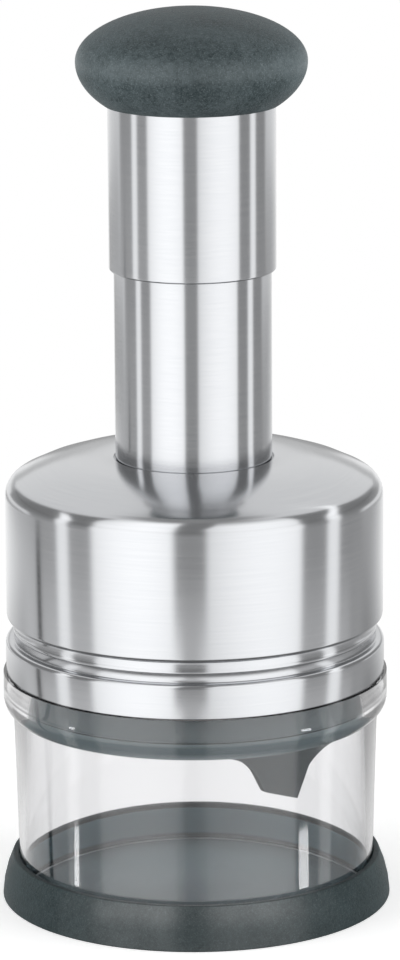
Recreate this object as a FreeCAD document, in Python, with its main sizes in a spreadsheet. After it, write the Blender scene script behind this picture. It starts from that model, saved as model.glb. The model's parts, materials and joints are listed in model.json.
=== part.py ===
"""Plunger food chopper: a knob on a telescoping steel tube drives a zigzag blade into a clear cup.

Frame: +Z up, origin on the table under the centre of the base, millimetres.
Heights are built up from the table: base floor, blade travel, wiper plate, travel again,
blade carrier, frame plate, steel top, then the tube, the sleeve and the knob above them.
"""

import FreeCAD, Part
import math
import os
from types import SimpleNamespace

import Sketcher

Vector = FreeCAD.Vector

# ---------------------------------------------------------------- driving dimensions

SIZES = {
    # base cap: a hard tray inside a soft grip
    "base_radius": 47.5,            # widest radius, at the table
    "grip_width": 3.05,             # soft skirt beyond the tray, at the table
    "foot_thickness": 1.4,          # soft layer under the tray
    "foot_ring_radius": 33.0,       # inner radius of the non-slip ring on the table
    "foot_round": 0.3,              # round where the flare meets the table
    "tray_floor": 1.2,              # hard floor under the food
    "tray_wall": 1.0,
    "tray_depth": 6.9,              # tray wall above its floor
    "grip_lip": 1.1,                # soft lip over the tray rim
    "grip_lip_width": 1.45,
    "flare_radius": 26.0,           # arc of the flared side
    "tray_gap": 0.35,               # cup foot to tray wall
    "mould_gap": 0.05,              # between pieces moulded or pressed together
    # clear cup
    "collar_over_ledge": 0.8,       # collar top above the ledge that carries the wiper
    "cup_bore_draft": 0.3,          # how much narrower the bore is at the foot
    "cup_wall": 2.85,               # wall under the collar
    "cup_wall_draft": 1.15,         # how much narrower the outside is at the foot
    "collar_height": 5.9,           # upright part of the collar
    "collar_step": 2.37,            # collar stands out from the wall
    "collar_bevel": 4.4,            # height of the rounded bevel under the collar
    "collar_round": 5.35,           # arc of that bevel
    "cup_edge_round": 0.4,
    # steel housing shell
    "shell_wall": 0.8,
    "band_step": 0.7,               # band inside the cup collar's radius
    "drum_step": 0.3,               # drum inside the band's radius
    "band_height": 8.4,             # band, from its lower edge to the groove
    "groove_height": 5.0,           # rolled groove between band and drum
    "groove_depth": 1.7,            # groove bottom inside the drum's radius
    "bead_height": 1.2,             # fine bead rolled inside the groove
    "rolled_round": 1.2,            # rolled corners beside the groove
    "shoulder_radius": 4.9,
    "dome_turn": 28.6,              # degrees that the domed top turns before the shoulder
    "tube_seat_radius": 24.0,       # flat seat round the tube
    "seat_gap": 0.1,                # shell edge and frame above the cup collar
    # guide tube and sleeve
    "tube_radius": 18.9,
    "tube_wall": 0.8,
    "tube_height": 51.3,            # tube above the steel top
    "tube_flange": 1.0,
    "tube_hole_gap": 0.1,
    "tube_edge_round": 0.35,
    "slide_ring_height": 2.4,       # plastic ring on the tube's top end
    "slide_ring_plug": 6.0,
    "slide_ring_bore": 14.5,
    "slide_gap": 0.07,              # slide ring to sleeve
    "sleeve_gap": 0.5,              # tube to sleeve
    "sleeve_wall": 0.6,
    "sleeve_edge_round": 0.5,
    "press_clearance": 2.3,         # sleeve above the steel top when pressed
    "stop_clearance": 0.7,          # knob ceiling above the slide ring when pressed
    # knob
    "knob_radius": 27.8,
    "knob_crown": 12.5,             # height of the dome over the widest line
    "knob_belly": 15.7,             # semi-axis of the underside
    "knob_drop": 2.0,               # widest line below the knob ceiling
    "core_plate": 2.9,
    "core_rim": 2.2,                # core plate beyond the sleeve
    "core_skirt": 7.0,              # collar of the core round the sleeve
    "core_skirt_wall": 1.8,
    "nut_radius": 5.0,
    "nut_height": 3.2,
    # rod and its swivel
    "rod_radius": 4.0,
    "rod_end_radius": 3.0,
    "bush_gap": 0.06,               # rod in its bush
    "foot_radius": 8.5,
    "foot_height": 2.8,
    "foot_screw_head": 1.8,
    "foot_screw_radius": 1.5,
    "foot_screw_length": 8.0,
    "foot_screw_head_radius": 4.2,
    "washer_thickness": 0.5,
    "swivel_gap": 0.3,              # play of the swivel, up and down
    "hub_wall": 3.6,                # hub round the pocket of the rod's foot
    "swivel_cap_height": 2.3,
    "cap_screw_radius": 0.9,
    "cap_screw_head_radius": 1.5,
    "cap_screw_head": 0.9,
    "cap_screw_length": 4.0,
    "cap_screw_count": 3,
    # return spring
    "spring_radius": 11.0,          # to the middle of the wire
    "spring_wire": 0.8,             # wire radius
    "spring_turns": 13,
    "spring_seat_thickness": 0.8,
    "spring_seat_rim": 3.0,         # seat beyond the middle of the wire
    "spring_seat_gap": 0.3,         # seat round the bush neck
    "spring_end_gap": 0.1,
    # guide bush and inner frame
    "bush_flange": 2.2,
    "bush_neck": 13.0,              # guide length above the flange
    "bush_neck_wall": 3.2,
    "bush_body_radius": 9.9,
    "frame_plate": 3.85,
    "frame_wall": 3.2,
    "frame_gusset": 5.0,            # thickening where the plate meets the wall
    "frame_gap": 0.3,               # frame inside the shell
    "spigot_gap": 0.3,              # frame spigot inside the cup bore
    "spigot_wall": 2.2,
    "ledge_width": 1.3,             # ledge that the wiper hooks hang from
    "ledge_height": 1.6,
    "ledge_drop": 4.1,              # spigot below the ledge
    # wiper plate
    "travel": 43.5,                 # stroke of knob and blade
    "chop_gap": 0.5,                # blade edge above the floor when pressed
    "wiper_plate_thickness": 2.4,
    "wiper_skirt_drop": 0.7,        # skirt below the plate
    "wiper_skirt_rise": 1.0,        # skirt above the plate
    "wiper_skirt_gap": 0.5,         # skirt inside the cup bore
    "wiper_skirt_wall": 2.0,
    "hook_wall": 1.5,
    "hook_lip": 1.1,
    "hook_lip_height": 1.2,
    "hook_count": 6,
    "hook_slot": 6.0,               # gap between neighbouring hooks
    "turn_gap": 0.3,                # clearance between wiper and frame
    "tab_azimuth": 29.0,            # degrees from the front towards the right
    "tab_left_drop": 9.0,           # lower left corner below the skirt edge
    "tab_right_drop": 11.8,         # lower right corner below the skirt edge
    "tab_left": 4.3,                # lower left corner from the tab's middle line
    "tab_right": 4.3,
    "tab_flare_drop": 4.2,          # where the sides turn into the flares
    "tab_neck_left": 6.6,
    "tab_neck_right": 7.6,
    "tab_flare_left": 13.0,         # where the flares run out into the skirt
    "tab_flare_right": 17.0,
    "tab_flare_radius_left": 8.5,
    "tab_flare_radius_right": 13.0,
    # blade unit
    "blade_depth": 28.0,            # across the folds
    "blade_margin": 1.7,            # ends of the blade inside the carrier's rim
    "blade_thickness": 0.8,
    "blade_folds": 6,
    "blade_bevel": 2.2,             # height of the sharpened edge
    "blade_edge": 0.16,             # thickness at the cutting edge
    "blade_slot_gap": 0.4,          # blade in the wiper slot, each side
    "blade_socket": 2.6,            # blade set into the carrier
    "carrier_side_gap": 1.0,        # carrier inside the ring of hooks
    "carrier_thickness": 5.0,
    "carrier_gap": 0.5,             # carrier above the wiper plate when pressed
    # index teeth
    "tooth_count": 12,
    "tooth_margin": 1.8,            # teeth inside the carrier's rim
    "tooth_length": 6.0,
    "tooth_height": 3.2,
    "tooth_base": 5.0,
    "tooth_tip": 3.0,
    "tooth_gap": 1.0,               # tip to root
    "index_ring_margin": 1.0,       # ring beyond the teeth, inside and outside
    "index_ring_thickness": 2.0,
}


class Size:
    """A number together with the sheet formula that it comes from."""

    def __init__(self, text, value):
        self.text = text
        self.value = value

    @staticmethod
    def of(other):
        if isinstance(other, Size):
            return other
        return Size(repr(other), other)

    def __add__(self, other):
        other = Size.of(other)
        return Size(f"({self.text} + {other.text})", self.value + other.value)

    def __sub__(self, other):
        other = Size.of(other)
        return Size(f"({self.text} - {other.text})", self.value - other.value)

    def __mul__(self, other):
        other = Size.of(other)
        return Size(f"({self.text} * {other.text})", self.value * other.value)

    def __truediv__(self, other):
        other = Size.of(other)
        return Size(f"({self.text} / {other.text})", self.value / other.value)

    def __neg__(self):
        return Size(f"(0 - {self.text})", -self.value)


ZERO = Size("0", 0.0)


def root(size):
    return Size(f"sqrt({size.text})", math.sqrt(size.value))


def sine(size):
    return Size(f"sin(1 deg * {size.text})", math.sin(math.radians(size.value)))


def cosine(size):
    return Size(f"cos(1 deg * {size.text})", math.cos(math.radians(size.value)))


doc = FreeCAD.newDocument("food_chopper")
sheet = doc.addObject("Spreadsheet::Sheet", "Sizes")
for row, (alias, number) in enumerate(SIZES.items(), start=1):
    sheet.set(f"A{row}", alias)
    sheet.set(f"B{row}", str(number))
    sheet.setAlias(f"B{row}", alias)
doc.recompute()

size = SimpleNamespace(**{
    alias: Size(f"{sheet.Name}.{alias}", float(sheet.get(alias))) for alias in SIZES
})


# ---------------------------------------------------------------- places worked out from the sizes

def blade_span(reach):
    """Distance between the blade's two ends when its corners lie at a radius of reach."""
    half_depth = size.blade_depth / 2
    return root(reach * reach - half_depth * half_depth) * 2


def work_out_places():
    """Heights and radii that several pieces share."""
    at = SimpleNamespace()
    # base and cup
    at.tray_bottom = size.foot_thickness
    at.floor = at.tray_bottom + size.tray_floor
    at.tray_rim = at.floor + size.tray_depth
    at.grip_rim = at.tray_rim + size.grip_lip
    at.tray_radius = size.base_radius - size.grip_width
    at.tray_bore = at.tray_radius - size.tray_wall
    at.cup_foot_radius = at.tray_bore - size.tray_gap
    at.cup_wall_radius = at.cup_foot_radius + size.cup_wall_draft
    at.cup_bore = at.cup_wall_radius - size.cup_wall
    at.collar_radius = at.cup_wall_radius + size.collar_step
    # wiper, blade and carrier
    at.blade_tip = at.floor + size.chop_gap + size.travel
    at.plate_bottom = at.blade_tip
    at.plate_top = at.plate_bottom + size.wiper_plate_thickness
    at.skirt_bottom = at.plate_bottom - size.wiper_skirt_drop
    at.skirt_top = at.plate_top + size.wiper_skirt_rise
    at.skirt_radius = at.cup_bore - size.wiper_skirt_gap
    at.spigot_bottom = at.skirt_top + size.turn_gap
    at.ledge_bottom = at.spigot_bottom + size.ledge_drop
    at.ledge_top = at.ledge_bottom + size.ledge_height
    at.spigot_radius = at.cup_bore - size.spigot_gap
    at.spigot_bore = at.spigot_radius - size.spigot_wall
    at.ledge_bore = at.spigot_bore - size.ledge_width
    at.hook_radius = at.ledge_bore - size.turn_gap
    at.hook_bore = at.hook_radius - size.hook_wall
    at.collar_top = at.ledge_top + size.collar_over_ledge
    at.collar_bottom = at.collar_top - size.collar_height
    at.bevel_bottom = at.collar_bottom - size.collar_bevel
    at.carrier_radius = at.hook_bore - size.carrier_side_gap
    at.carrier_bottom = at.plate_top + size.travel + size.carrier_gap
    at.carrier_top = at.carrier_bottom + size.carrier_thickness
    at.blade_top = at.carrier_bottom + size.blade_socket
    at.blade_reach = at.carrier_radius - size.blade_margin
    at.blade_pitch = blade_span(at.blade_reach) / (size.blade_folds - 1)
    # swivel on the rod's lower end
    at.pocket_radius = size.foot_radius + size.swivel_gap
    at.hub_radius = at.pocket_radius + size.hub_wall
    at.pocket_floor = at.carrier_top - size.swivel_gap
    at.washer_top = at.pocket_floor + size.washer_thickness
    at.foot_bottom = at.washer_top + size.swivel_gap
    at.foot_top = at.foot_bottom + size.foot_height
    at.hub_top = at.foot_top + size.swivel_gap
    at.cap_top = at.hub_top + size.swivel_cap_height
    at.screw_head_bottom = at.foot_bottom - size.foot_screw_head
    # frame, shell and tube
    at.frame_under = at.cap_top + size.swivel_gap
    at.frame_top = at.frame_under + size.frame_plate
    at.shell_under = at.frame_top + size.tube_flange
    at.shell_top = at.shell_under + size.shell_wall
    at.shell_bottom = at.collar_top + size.seat_gap
    at.band_radius = at.collar_radius - size.band_step
    at.drum_radius = at.band_radius - size.drum_step
    at.groove_bottom = at.shell_bottom + size.band_height
    at.groove_top = at.groove_bottom + size.groove_height
    at.tube_bore = size.tube_radius - size.tube_wall
    at.tube_top = at.shell_top + size.tube_height
    at.ring_top = at.tube_top + size.slide_ring_height
    # bush and spring
    at.bush_seat = at.frame_top + size.bush_flange
    at.spring_bottom = at.bush_seat + size.spring_seat_thickness
    at.bush_bore = size.rod_radius + size.bush_gap
    at.bush_neck_radius = at.bush_bore + size.bush_neck_wall
    # sleeve and knob
    at.sleeve_bore = size.tube_radius + size.sleeve_gap
    at.sleeve_radius = at.sleeve_bore + size.sleeve_wall
    at.sleeve_bottom = at.shell_top + size.press_clearance + size.travel
    at.ceiling = at.ring_top + size.travel + size.stop_clearance
    at.core_top = at.ceiling + size.core_plate
    at.core_radius = at.sleeve_radius + size.core_rim
    at.nut_top = at.core_top + size.nut_height
    at.knob_middle = at.ceiling - size.knob_drop
    # index teeth
    at.tooth_start = at.carrier_radius - size.tooth_margin - size.tooth_length
    at.index_root = at.frame_under - size.index_ring_thickness
    at.index_tip = at.carrier_top + size.tooth_gap
    return at


at = work_out_places()


# ---------------------------------------------------------------- drawing helpers

class Corner:
    """A corner of an outline, with a round or with an arc that leads to the next corner."""

    def __init__(self, across, up, round=None, arc=None, side=1):
        self.across = Size.of(across)
        self.up = Size.of(up)
        self.round = round
        self.arc = arc
        self.side = side


def step_towards(corner, other, distance):
    """The place on the straight, upright or level side at a distance from the corner."""
    if abs(other.up.value - corner.up.value) < 1e-6:
        if other.across.value > corner.across.value:
            return corner.across + distance, corner.up
        return corner.across - distance, corner.up
    if other.up.value > corner.up.value:
        return corner.across, corner.up + distance
    return corner.across, corner.up - distance


def turn_sign(before, corner, after):
    """+1 for a left turn at the corner and -1 for a right turn."""
    cross = ((corner.across.value - before.across.value) * (after.up.value - corner.up.value)
             - (corner.up.value - before.up.value) * (after.across.value - corner.across.value))
    return 1 if cross > 0 else -1


def spread_rounds(outline):
    """Each rounded corner becomes the two ends of its arc."""
    corners = []
    for i, corner in enumerate(outline):
        if corner.round is None:
            corners.append(corner)
            continue
        before = outline[i - 1]
        after = outline[(i + 1) % len(outline)]
        start = step_towards(corner, before, corner.round)
        end = step_towards(corner, after, corner.round)
        corners.append(Corner(*start, arc=corner.round, side=turn_sign(before, corner, after)))
        corners.append(Corner(*end))
    return corners


def arc_geometry(start, end, radius, side):
    """The shorter arc between two corners, its centre left (+1) or right (-1) of the way."""
    chord = end - start
    half = chord.Length / 2
    reach = math.sqrt(max(radius * radius - half * half, 0.0))
    left = Vector(-chord.y, chord.x, 0).normalize()
    centre = (start + end) * 0.5 + left * (reach * side)
    first, last = (start, end) if side > 0 else (end, start)
    start_angle = math.atan2(first.y - centre.y, first.x - centre.x)
    end_angle = math.atan2(last.y - centre.y, last.x - centre.x)
    circle = Part.Circle(centre, Vector(0, 0, 1), radius)
    return Part.ArcOfCircle(circle, start_angle, end_angle)


def draw(sketch, outline):
    """Draw a closed outline and tie each corner and arc to the sheet."""
    corners = spread_rounds(outline)
    spots = [Vector(corner.across.value, corner.up.value, 0) for corner in corners]
    count = len(corners)
    starts = []
    for i, corner in enumerate(corners):
        start, end = spots[i], spots[(i + 1) % count]
        if corner.arc is None:
            sketch.addGeometry(Part.LineSegment(start, end), False)
            starts.append(1)
        else:
            sketch.addGeometry(arc_geometry(start, end, corner.arc.value, corner.side), False)
            starts.append(1 if corner.side > 0 else 2)
    ties = []
    for i, corner in enumerate(corners):
        begin = starts[i]
        finish = 3 - begin
        after = (i + 1) % count
        sketch.addConstraint(Sketcher.Constraint("Coincident", i, finish, after, starts[after]))
        for kind, axis, distance in (("DistanceX", -2, corner.across), ("DistanceY", -1, corner.up)):
            if distance is ZERO or distance.text in ("0", "0.0"):
                sketch.addConstraint(Sketcher.Constraint("PointOnObject", i, begin, axis))
                continue
            row = sketch.addConstraint(Sketcher.Constraint(kind, -1, 1, i, begin, distance.value))
            ties.append((row, distance))
        if corner.arc is not None:
            row = sketch.addConstraint(Sketcher.Constraint("Radius", i, corner.arc.value))
            ties.append((row, corner.arc))
    for row, distance in ties:
        sketch.setExpression(f"Constraints[{row}]", distance.text)


def new_body(name):
    body = doc.addObject("PartDesign::Body", name)
    body.Label = name
    return body


def origin_part(body, role):
    for feature in body.Origin.OriginFeatures:
        if feature.Role == role:
            return feature
    raise ValueError(role)


def new_sketch(body, name, plane, outline, offset=None):
    """A sketch on one of the body's own planes, moved along the plane's normal by offset."""
    sketch = body.newObject("Sketcher::SketchObject", name)
    sketch.AttachmentSupport = [(origin_part(body, plane), "")]
    sketch.MapMode = "FlatFace"
    if offset is not None:
        sketch.setExpression("AttachmentOffset.Base.z", offset.text)
    draw(sketch, outline)
    doc.recompute()
    return sketch


def turned_body(name, outline):
    """A solid of revolution about Z from an outline of radii and heights."""
    body = new_body(name)
    sketch = new_sketch(body, name + "_outline", "XZ_Plane", outline)
    turn = body.newObject("PartDesign::Revolution", name + "_turn")
    turn.Profile = sketch
    turn.ReferenceAxis = (sketch, ["V_Axis"])
    turn.Angle = 360
    body.Tip = turn
    doc.recompute()
    return body


def add_pad(body, sketch, name, length):
    pad = body.newObject("PartDesign::Pad", name)
    pad.Profile = sketch
    pad.setExpression("Length", length.text)
    body.Tip = pad
    doc.recompute()
    return pad


def add_pocket(body, sketch, name, length, reversed_way):
    """Cut a sketch's outline out of the body, and make sure that it took something away."""
    before = body.Shape.Volume
    pocket = body.newObject("PartDesign::Pocket", name)
    pocket.Profile = sketch
    pocket.Reversed = reversed_way
    pocket.setExpression("Length", length.text)
    body.Tip = pocket
    doc.recompute()
    if not body.Shape.Volume < before - 1e-3:
        raise RuntimeError(name + " cuts nothing")
    return pocket


def add_ring_pattern(body, feature, name, count):
    """Repeat a feature round the Z axis."""
    pattern = body.newObject("PartDesign::PolarPattern", name)
    pattern.Originals = [feature]
    pattern.Axis = (origin_part(body, "Z_Axis"), [""])
    pattern.Angle = 360
    pattern.setExpression("Occurrences", count.text)
    body.Tip = pattern
    doc.recompute()
    return pattern


def cylinder(name, radius, bottom, top, across=None, along=None):
    """An upright Part cylinder between two heights."""
    shape = doc.addObject("Part::Cylinder", name)
    shape.setExpression("Radius", radius.text)
    shape.setExpression("Height", (top - bottom).text)
    shape.setExpression("Placement.Base.z", bottom.text)
    if across is not None:
        shape.setExpression("Placement.Base.x", across.text)
        shape.setExpression("Placement.Base.y", along.text)
    return shape


def boolean(kind, name, base, tool):
    result = doc.addObject("Part::" + kind, name)
    result.Base = base
    result.Tool = tool
    return result


def level_ring(inner, outer, bottom, top):
    """Outline of a plain ring or, with no inner radius, of a disc."""
    return [Corner(inner, bottom), Corner(outer, bottom), Corner(outer, top), Corner(inner, top)]


# ---------------------------------------------------------------- base cap

def make_base_tray():
    """Hard tray: the floor that the food is cut on, with an upright wall round the cup foot."""
    return turned_body("base_tray", [
        Corner(ZERO, at.tray_bottom),
        Corner(at.tray_radius, at.tray_bottom),
        Corner(at.tray_radius, at.tray_rim),
        Corner(at.tray_bore, at.tray_rim),
        Corner(at.tray_bore, at.floor),
        Corner(ZERO, at.floor),
    ])


def make_base_grip():
    """Soft flared skirt with a non-slip ring under the tray and a lip over the tray rim."""
    inside = at.tray_radius + size.mould_gap
    return turned_body("base_grip", [
        Corner(size.foot_ring_radius, ZERO),
        Corner(size.base_radius - size.foot_round, ZERO, arc=size.foot_round, side=1),
        Corner(size.base_radius, size.foot_round, arc=size.flare_radius, side=1),
        Corner(at.tray_bore + size.grip_lip_width, at.grip_rim),
        Corner(at.tray_bore, at.grip_rim),
        Corner(at.tray_bore, at.tray_rim),
        Corner(inside, at.tray_rim),
        Corner(inside, at.tray_bottom),
        Corner(size.foot_ring_radius, at.tray_bottom),
    ])


# ---------------------------------------------------------------- clear cup

def make_chopping_cup():
    """Clear drafted tube, open at both ends, with a thick collar round its top."""
    foot_bore = at.cup_bore - size.cup_bore_draft
    edge = size.cup_edge_round
    return turned_body("chopping_cup", [
        Corner(foot_bore, at.floor),
        Corner(at.cup_foot_radius - edge, at.floor, arc=edge, side=1),
        Corner(at.cup_foot_radius, at.floor + edge),
        Corner(at.cup_wall_radius, at.bevel_bottom, arc=size.collar_round, side=1),
        Corner(at.collar_radius, at.collar_bottom),
        Corner(at.collar_radius, at.collar_top, round=edge),
        Corner(at.cup_bore + edge, at.collar_top),
        Corner(at.cup_bore, at.collar_top - edge),
    ])


# ---------------------------------------------------------------- housing

def dome(inset):
    """The domed top and its shoulder, for a surface inset from the outside of the shell.

    Two tangent arcs run from the flat seat round the tube to the upright side of the drum.
    """
    turn = size.dome_turn
    spread = at.drum_radius - size.tube_seat_radius - size.shoulder_radius
    dome_radius = size.shoulder_radius + spread / sine(turn)
    dome_centre = at.shell_top - dome_radius
    shoulder_centre = dome_centre + (dome_radius - size.shoulder_radius) * cosine(turn)
    over = SimpleNamespace()
    over.dome_radius = dome_radius - inset
    over.shoulder_radius = size.shoulder_radius - inset
    over.join = (size.tube_seat_radius + over.dome_radius * sine(turn),
                 dome_centre + over.dome_radius * cosine(turn))
    over.end = (at.drum_radius - inset, shoulder_centre)
    return over


def make_housing_shell():
    """Drawn steel shell: sloped top, drum, rolled groove with a fine bead, and lower band."""
    wall = size.shell_wall
    hole = size.tube_radius + size.tube_hole_gap
    outer = dome(ZERO)
    inner = dome(wall)
    neck = at.drum_radius - size.groove_depth
    middle = (at.groove_bottom + at.groove_top) / 2
    corner = size.rolled_round
    inner_corner = corner - wall
    neck_inside = neck - wall
    return turned_body("housing_shell", [
        Corner(hole, at.shell_top),
        Corner(hole, at.shell_under),
        Corner(size.tube_seat_radius, at.shell_under, arc=inner.dome_radius, side=-1),
        Corner(*inner.join, arc=inner.shoulder_radius, side=-1),
        Corner(*inner.end),
        Corner(at.drum_radius - wall, at.groove_top + corner, arc=inner_corner, side=-1),
        Corner(at.drum_radius - corner, at.groove_top + wall),
        Corner(neck_inside, at.groove_top + wall),
        Corner(neck_inside, at.groove_bottom - wall),
        Corner(at.band_radius - corner, at.groove_bottom - wall, arc=inner_corner, side=-1),
        Corner(at.band_radius - wall, at.groove_bottom - corner),
        Corner(at.band_radius - wall, at.shell_bottom),
        Corner(at.band_radius, at.shell_bottom),
        Corner(at.band_radius, at.groove_bottom - corner, arc=corner, side=1),
        Corner(at.band_radius - corner, at.groove_bottom),
        Corner(neck, at.groove_bottom),
        Corner(neck, middle - size.bead_height / 2, arc=size.bead_height, side=1),
        Corner(neck, middle + size.bead_height / 2),
        Corner(neck, at.groove_top),
        Corner(at.drum_radius - corner, at.groove_top, arc=corner, side=1),
        Corner(at.drum_radius, at.groove_top + corner),
        Corner(*outer.end, arc=outer.shoulder_radius, side=1),
        Corner(*outer.join, arc=outer.dome_radius, side=1),
        Corner(size.tube_seat_radius, at.shell_top),
    ])


def make_inner_frame():
    """Moulded frame: plate under the steel top, wall inside the shell, spigot into the cup."""
    inset = size.shell_wall + size.frame_gap
    over = dome(inset)
    outside = at.drum_radius - inset
    neck = outside - size.groove_depth
    inside = outside - size.frame_wall
    band = at.band_radius - inset
    bore = size.bush_body_radius + size.mould_gap
    plate_fall = over.dome_radius - (at.shell_top - inset - at.frame_top)
    plate_edge = size.tube_seat_radius + root(over.dome_radius * over.dome_radius - plate_fall * plate_fall)
    step = size.rolled_round + size.frame_gap
    return turned_body("inner_frame", [
        Corner(bore, at.frame_under),
        Corner(inside - size.frame_gusset, at.frame_under),
        Corner(inside, at.frame_under - size.frame_gusset),
        Corner(inside, at.ledge_top + size.frame_wall * 1.5),
        Corner(at.spigot_bore, at.ledge_top + size.frame_wall * 0.5),
        Corner(at.spigot_bore, at.ledge_top),
        Corner(at.ledge_bore, at.ledge_top),
        Corner(at.ledge_bore, at.ledge_bottom),
        Corner(at.spigot_bore, at.ledge_bottom),
        Corner(at.spigot_bore, at.spigot_bottom),
        Corner(at.spigot_radius, at.spigot_bottom),
        Corner(at.spigot_radius, at.shell_bottom),
        Corner(band, at.shell_bottom),
        Corner(band, at.groove_bottom - step),
        Corner(neck, at.groove_bottom - step),
        Corner(neck, at.groove_top + step),
        Corner(outside, at.groove_top + step),
        Corner(*over.end, arc=over.shoulder_radius, side=1),
        Corner(*over.join, arc=over.dome_radius, side=1),
        Corner(plate_edge, at.frame_top),
        Corner(bore, at.frame_top),
    ])


def make_guide_tube():
    """Lower steel tube: stands through the steel top, held by its flange from below."""
    flange_radius = size.tube_seat_radius - size.tube_hole_gap
    return turned_body("guide_tube", [
        Corner(at.tube_bore, at.frame_top),
        Corner(flange_radius, at.frame_top),
        Corner(flange_radius, at.shell_under),
        Corner(size.tube_radius, at.shell_under),
        Corner(size.tube_radius, at.tube_top, round=size.tube_edge_round),
        Corner(at.tube_bore, at.tube_top),
    ])


def make_slide_ring():
    """Plastic ring plugged into the tube's top end; the sleeve slides on its rim."""
    plug = at.tube_bore - size.mould_gap
    rim = at.sleeve_bore - size.slide_gap
    return turned_body("slide_ring", [
        Corner(size.slide_ring_bore, at.tube_top - size.slide_ring_plug),
        Corner(plug, at.tube_top - size.slide_ring_plug),
        Corner(plug, at.tube_top),
        Corner(rim, at.tube_top),
        Corner(rim, at.ring_top, round=size.tube_edge_round),
        Corner(size.slide_ring_bore, at.ring_top),
    ])


def make_guide_bush():
    """Flanged bush in the frame: it guides the rod, and its flange carries the spring."""
    flange = at.tube_bore - size.mould_gap
    return turned_body("guide_bush", [
        Corner(at.bush_bore, at.frame_under),
        Corner(size.bush_body_radius, at.frame_under),
        Corner(size.bush_body_radius, at.frame_top),
        Corner(flange, at.frame_top),
        Corner(flange, at.bush_seat),
        Corner(at.bush_neck_radius, at.bush_seat),
        Corner(at.bush_neck_radius, at.bush_seat + size.bush_neck),
        Corner(at.bush_bore, at.bush_seat + size.bush_neck),
    ])


def make_spring_seat():
    """Steel washer between the spring and the bush flange."""
    inner = at.bush_neck_radius + size.spring_seat_gap
    outer = size.spring_radius + size.spring_seat_rim
    return turned_body("spring_seat", level_ring(inner, outer, at.bush_seat, at.spring_bottom))


def tooth_outline(root_up, tip_up):
    """A tooth seen along the radius, wide at its root."""
    return [
        Corner(-size.tooth_base / 2, root_up),
        Corner(size.tooth_base / 2, root_up),
        Corner(size.tooth_tip / 2, tip_up),
        Corner(-size.tooth_tip / 2, tip_up),
    ]


def add_teeth(body, name, root_up, tip_up):
    """A ring of face teeth with straight flanks."""
    outline = tooth_outline(root_up, tip_up)
    sketch = new_sketch(body, name + "_sketch", "YZ_Plane", outline, at.tooth_start)
    tooth = add_pad(body, sketch, name + "_tooth", size.tooth_length)
    return add_ring_pattern(body, tooth, name + "_ring", size.tooth_count)


def make_index_ring():
    """Fixed ring of teeth under the frame plate; it stands half a tooth round from the carrier's."""
    inner = at.tooth_start - size.index_ring_margin
    outer = at.tooth_start + size.tooth_length + size.index_ring_margin
    body = turned_body("index_ring", level_ring(inner, outer, at.index_root, at.frame_under))
    add_teeth(body, "index", at.index_root, at.index_tip)
    body.Placement = FreeCAD.Placement(Vector(), FreeCAD.Rotation(Vector(0, 0, 1), 15))
    body.setExpression("Placement.Rotation.Angle", (Size.of(180) / size.tooth_count).text)
    return body


# ---------------------------------------------------------------- plunger

def make_plunger_rod():
    """Turned steel rod with a thinner threaded end above and a tapped spigot below."""
    tapped = size.foot_screw_radius
    depth = at.foot_bottom + size.foot_screw_length
    return turned_body("plunger_rod", [
        Corner(tapped, at.foot_bottom),
        Corner(size.rod_end_radius, at.foot_bottom),
        Corner(size.rod_end_radius, at.foot_top),
        Corner(size.rod_radius, at.foot_top),
        Corner(size.rod_radius, at.ceiling),
        Corner(size.rod_end_radius, at.ceiling),
        Corner(size.rod_end_radius, at.nut_top),
        Corner(ZERO, at.nut_top),
        Corner(ZERO, depth),
        Corner(tapped, depth),
    ])


def make_rod_foot():
    """Steel disc on the rod's lower end, held captive in the blade carrier so that it can swivel."""
    bore = size.rod_end_radius + size.mould_gap
    return turned_body("rod_foot", level_ring(bore, size.foot_radius, at.foot_bottom, at.foot_top))


def make_foot_screw():
    """Screw that clamps the foot to the rod."""
    shank = size.foot_screw_radius - size.mould_gap
    return turned_body("foot_screw", [
        Corner(ZERO, at.screw_head_bottom),
        Corner(size.foot_screw_head_radius, at.screw_head_bottom),
        Corner(size.foot_screw_head_radius, at.foot_bottom),
        Corner(shank, at.foot_bottom),
        Corner(shank, at.foot_bottom + size.foot_screw_length - size.swivel_gap),
        Corner(ZERO, at.foot_bottom + size.foot_screw_length - size.swivel_gap),
    ])


def make_knob_core():
    """Hard core of the knob: a plate over the sleeve's end and a collar round it."""
    bore = size.rod_end_radius + size.mould_gap
    collar_bore = at.sleeve_radius + size.mould_gap
    collar = collar_bore + size.core_skirt_wall
    return turned_body("knob_core", [
        Corner(bore, at.ceiling),
        Corner(collar_bore, at.ceiling),
        Corner(collar_bore, at.ceiling - size.core_skirt),
        Corner(collar, at.ceiling - size.core_skirt),
        Corner(collar, at.ceiling),
        Corner(at.core_radius, at.ceiling),
        Corner(at.core_radius, at.core_top),
        Corner(bore, at.core_top),
    ])


def make_rod_nut():
    """Hexagon nut that clamps the rod to the knob core."""
    body = new_body("rod_nut")
    ring = [Corner(*flat_corner(size.nut_radius, step)) for step in range(6)]
    sketch = new_sketch(body, "rod_nut_outline", "XY_Plane", ring, at.core_top)
    add_pad(body, sketch, "rod_nut_pad", size.nut_height)
    before = body.Shape.Volume
    bore = body.newObject("PartDesign::SubtractiveCylinder", "rod_nut_bore")
    bore.setExpression("Radius", (size.rod_end_radius + size.mould_gap).text)
    bore.setExpression("Height", size.nut_height.text)
    bore.setExpression("AttachmentOffset.Base.z", at.core_top.text)
    bore.AttachmentSupport = [(origin_part(body, "XY_Plane"), "")]
    bore.MapMode = "FlatFace"
    body.Tip = bore
    doc.recompute()
    if not body.Shape.Volume < before - 1e-3:
        raise RuntimeError("rod_nut_bore cuts nothing")
    return body


def flat_corner(radius, step):
    """A corner of a hexagon."""
    angle = Size.of(60.0 * step)
    across = radius * cosine(angle)
    along = radius * sine(angle)
    if step % 3 == 0:
        return across, ZERO
    return across, along


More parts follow.
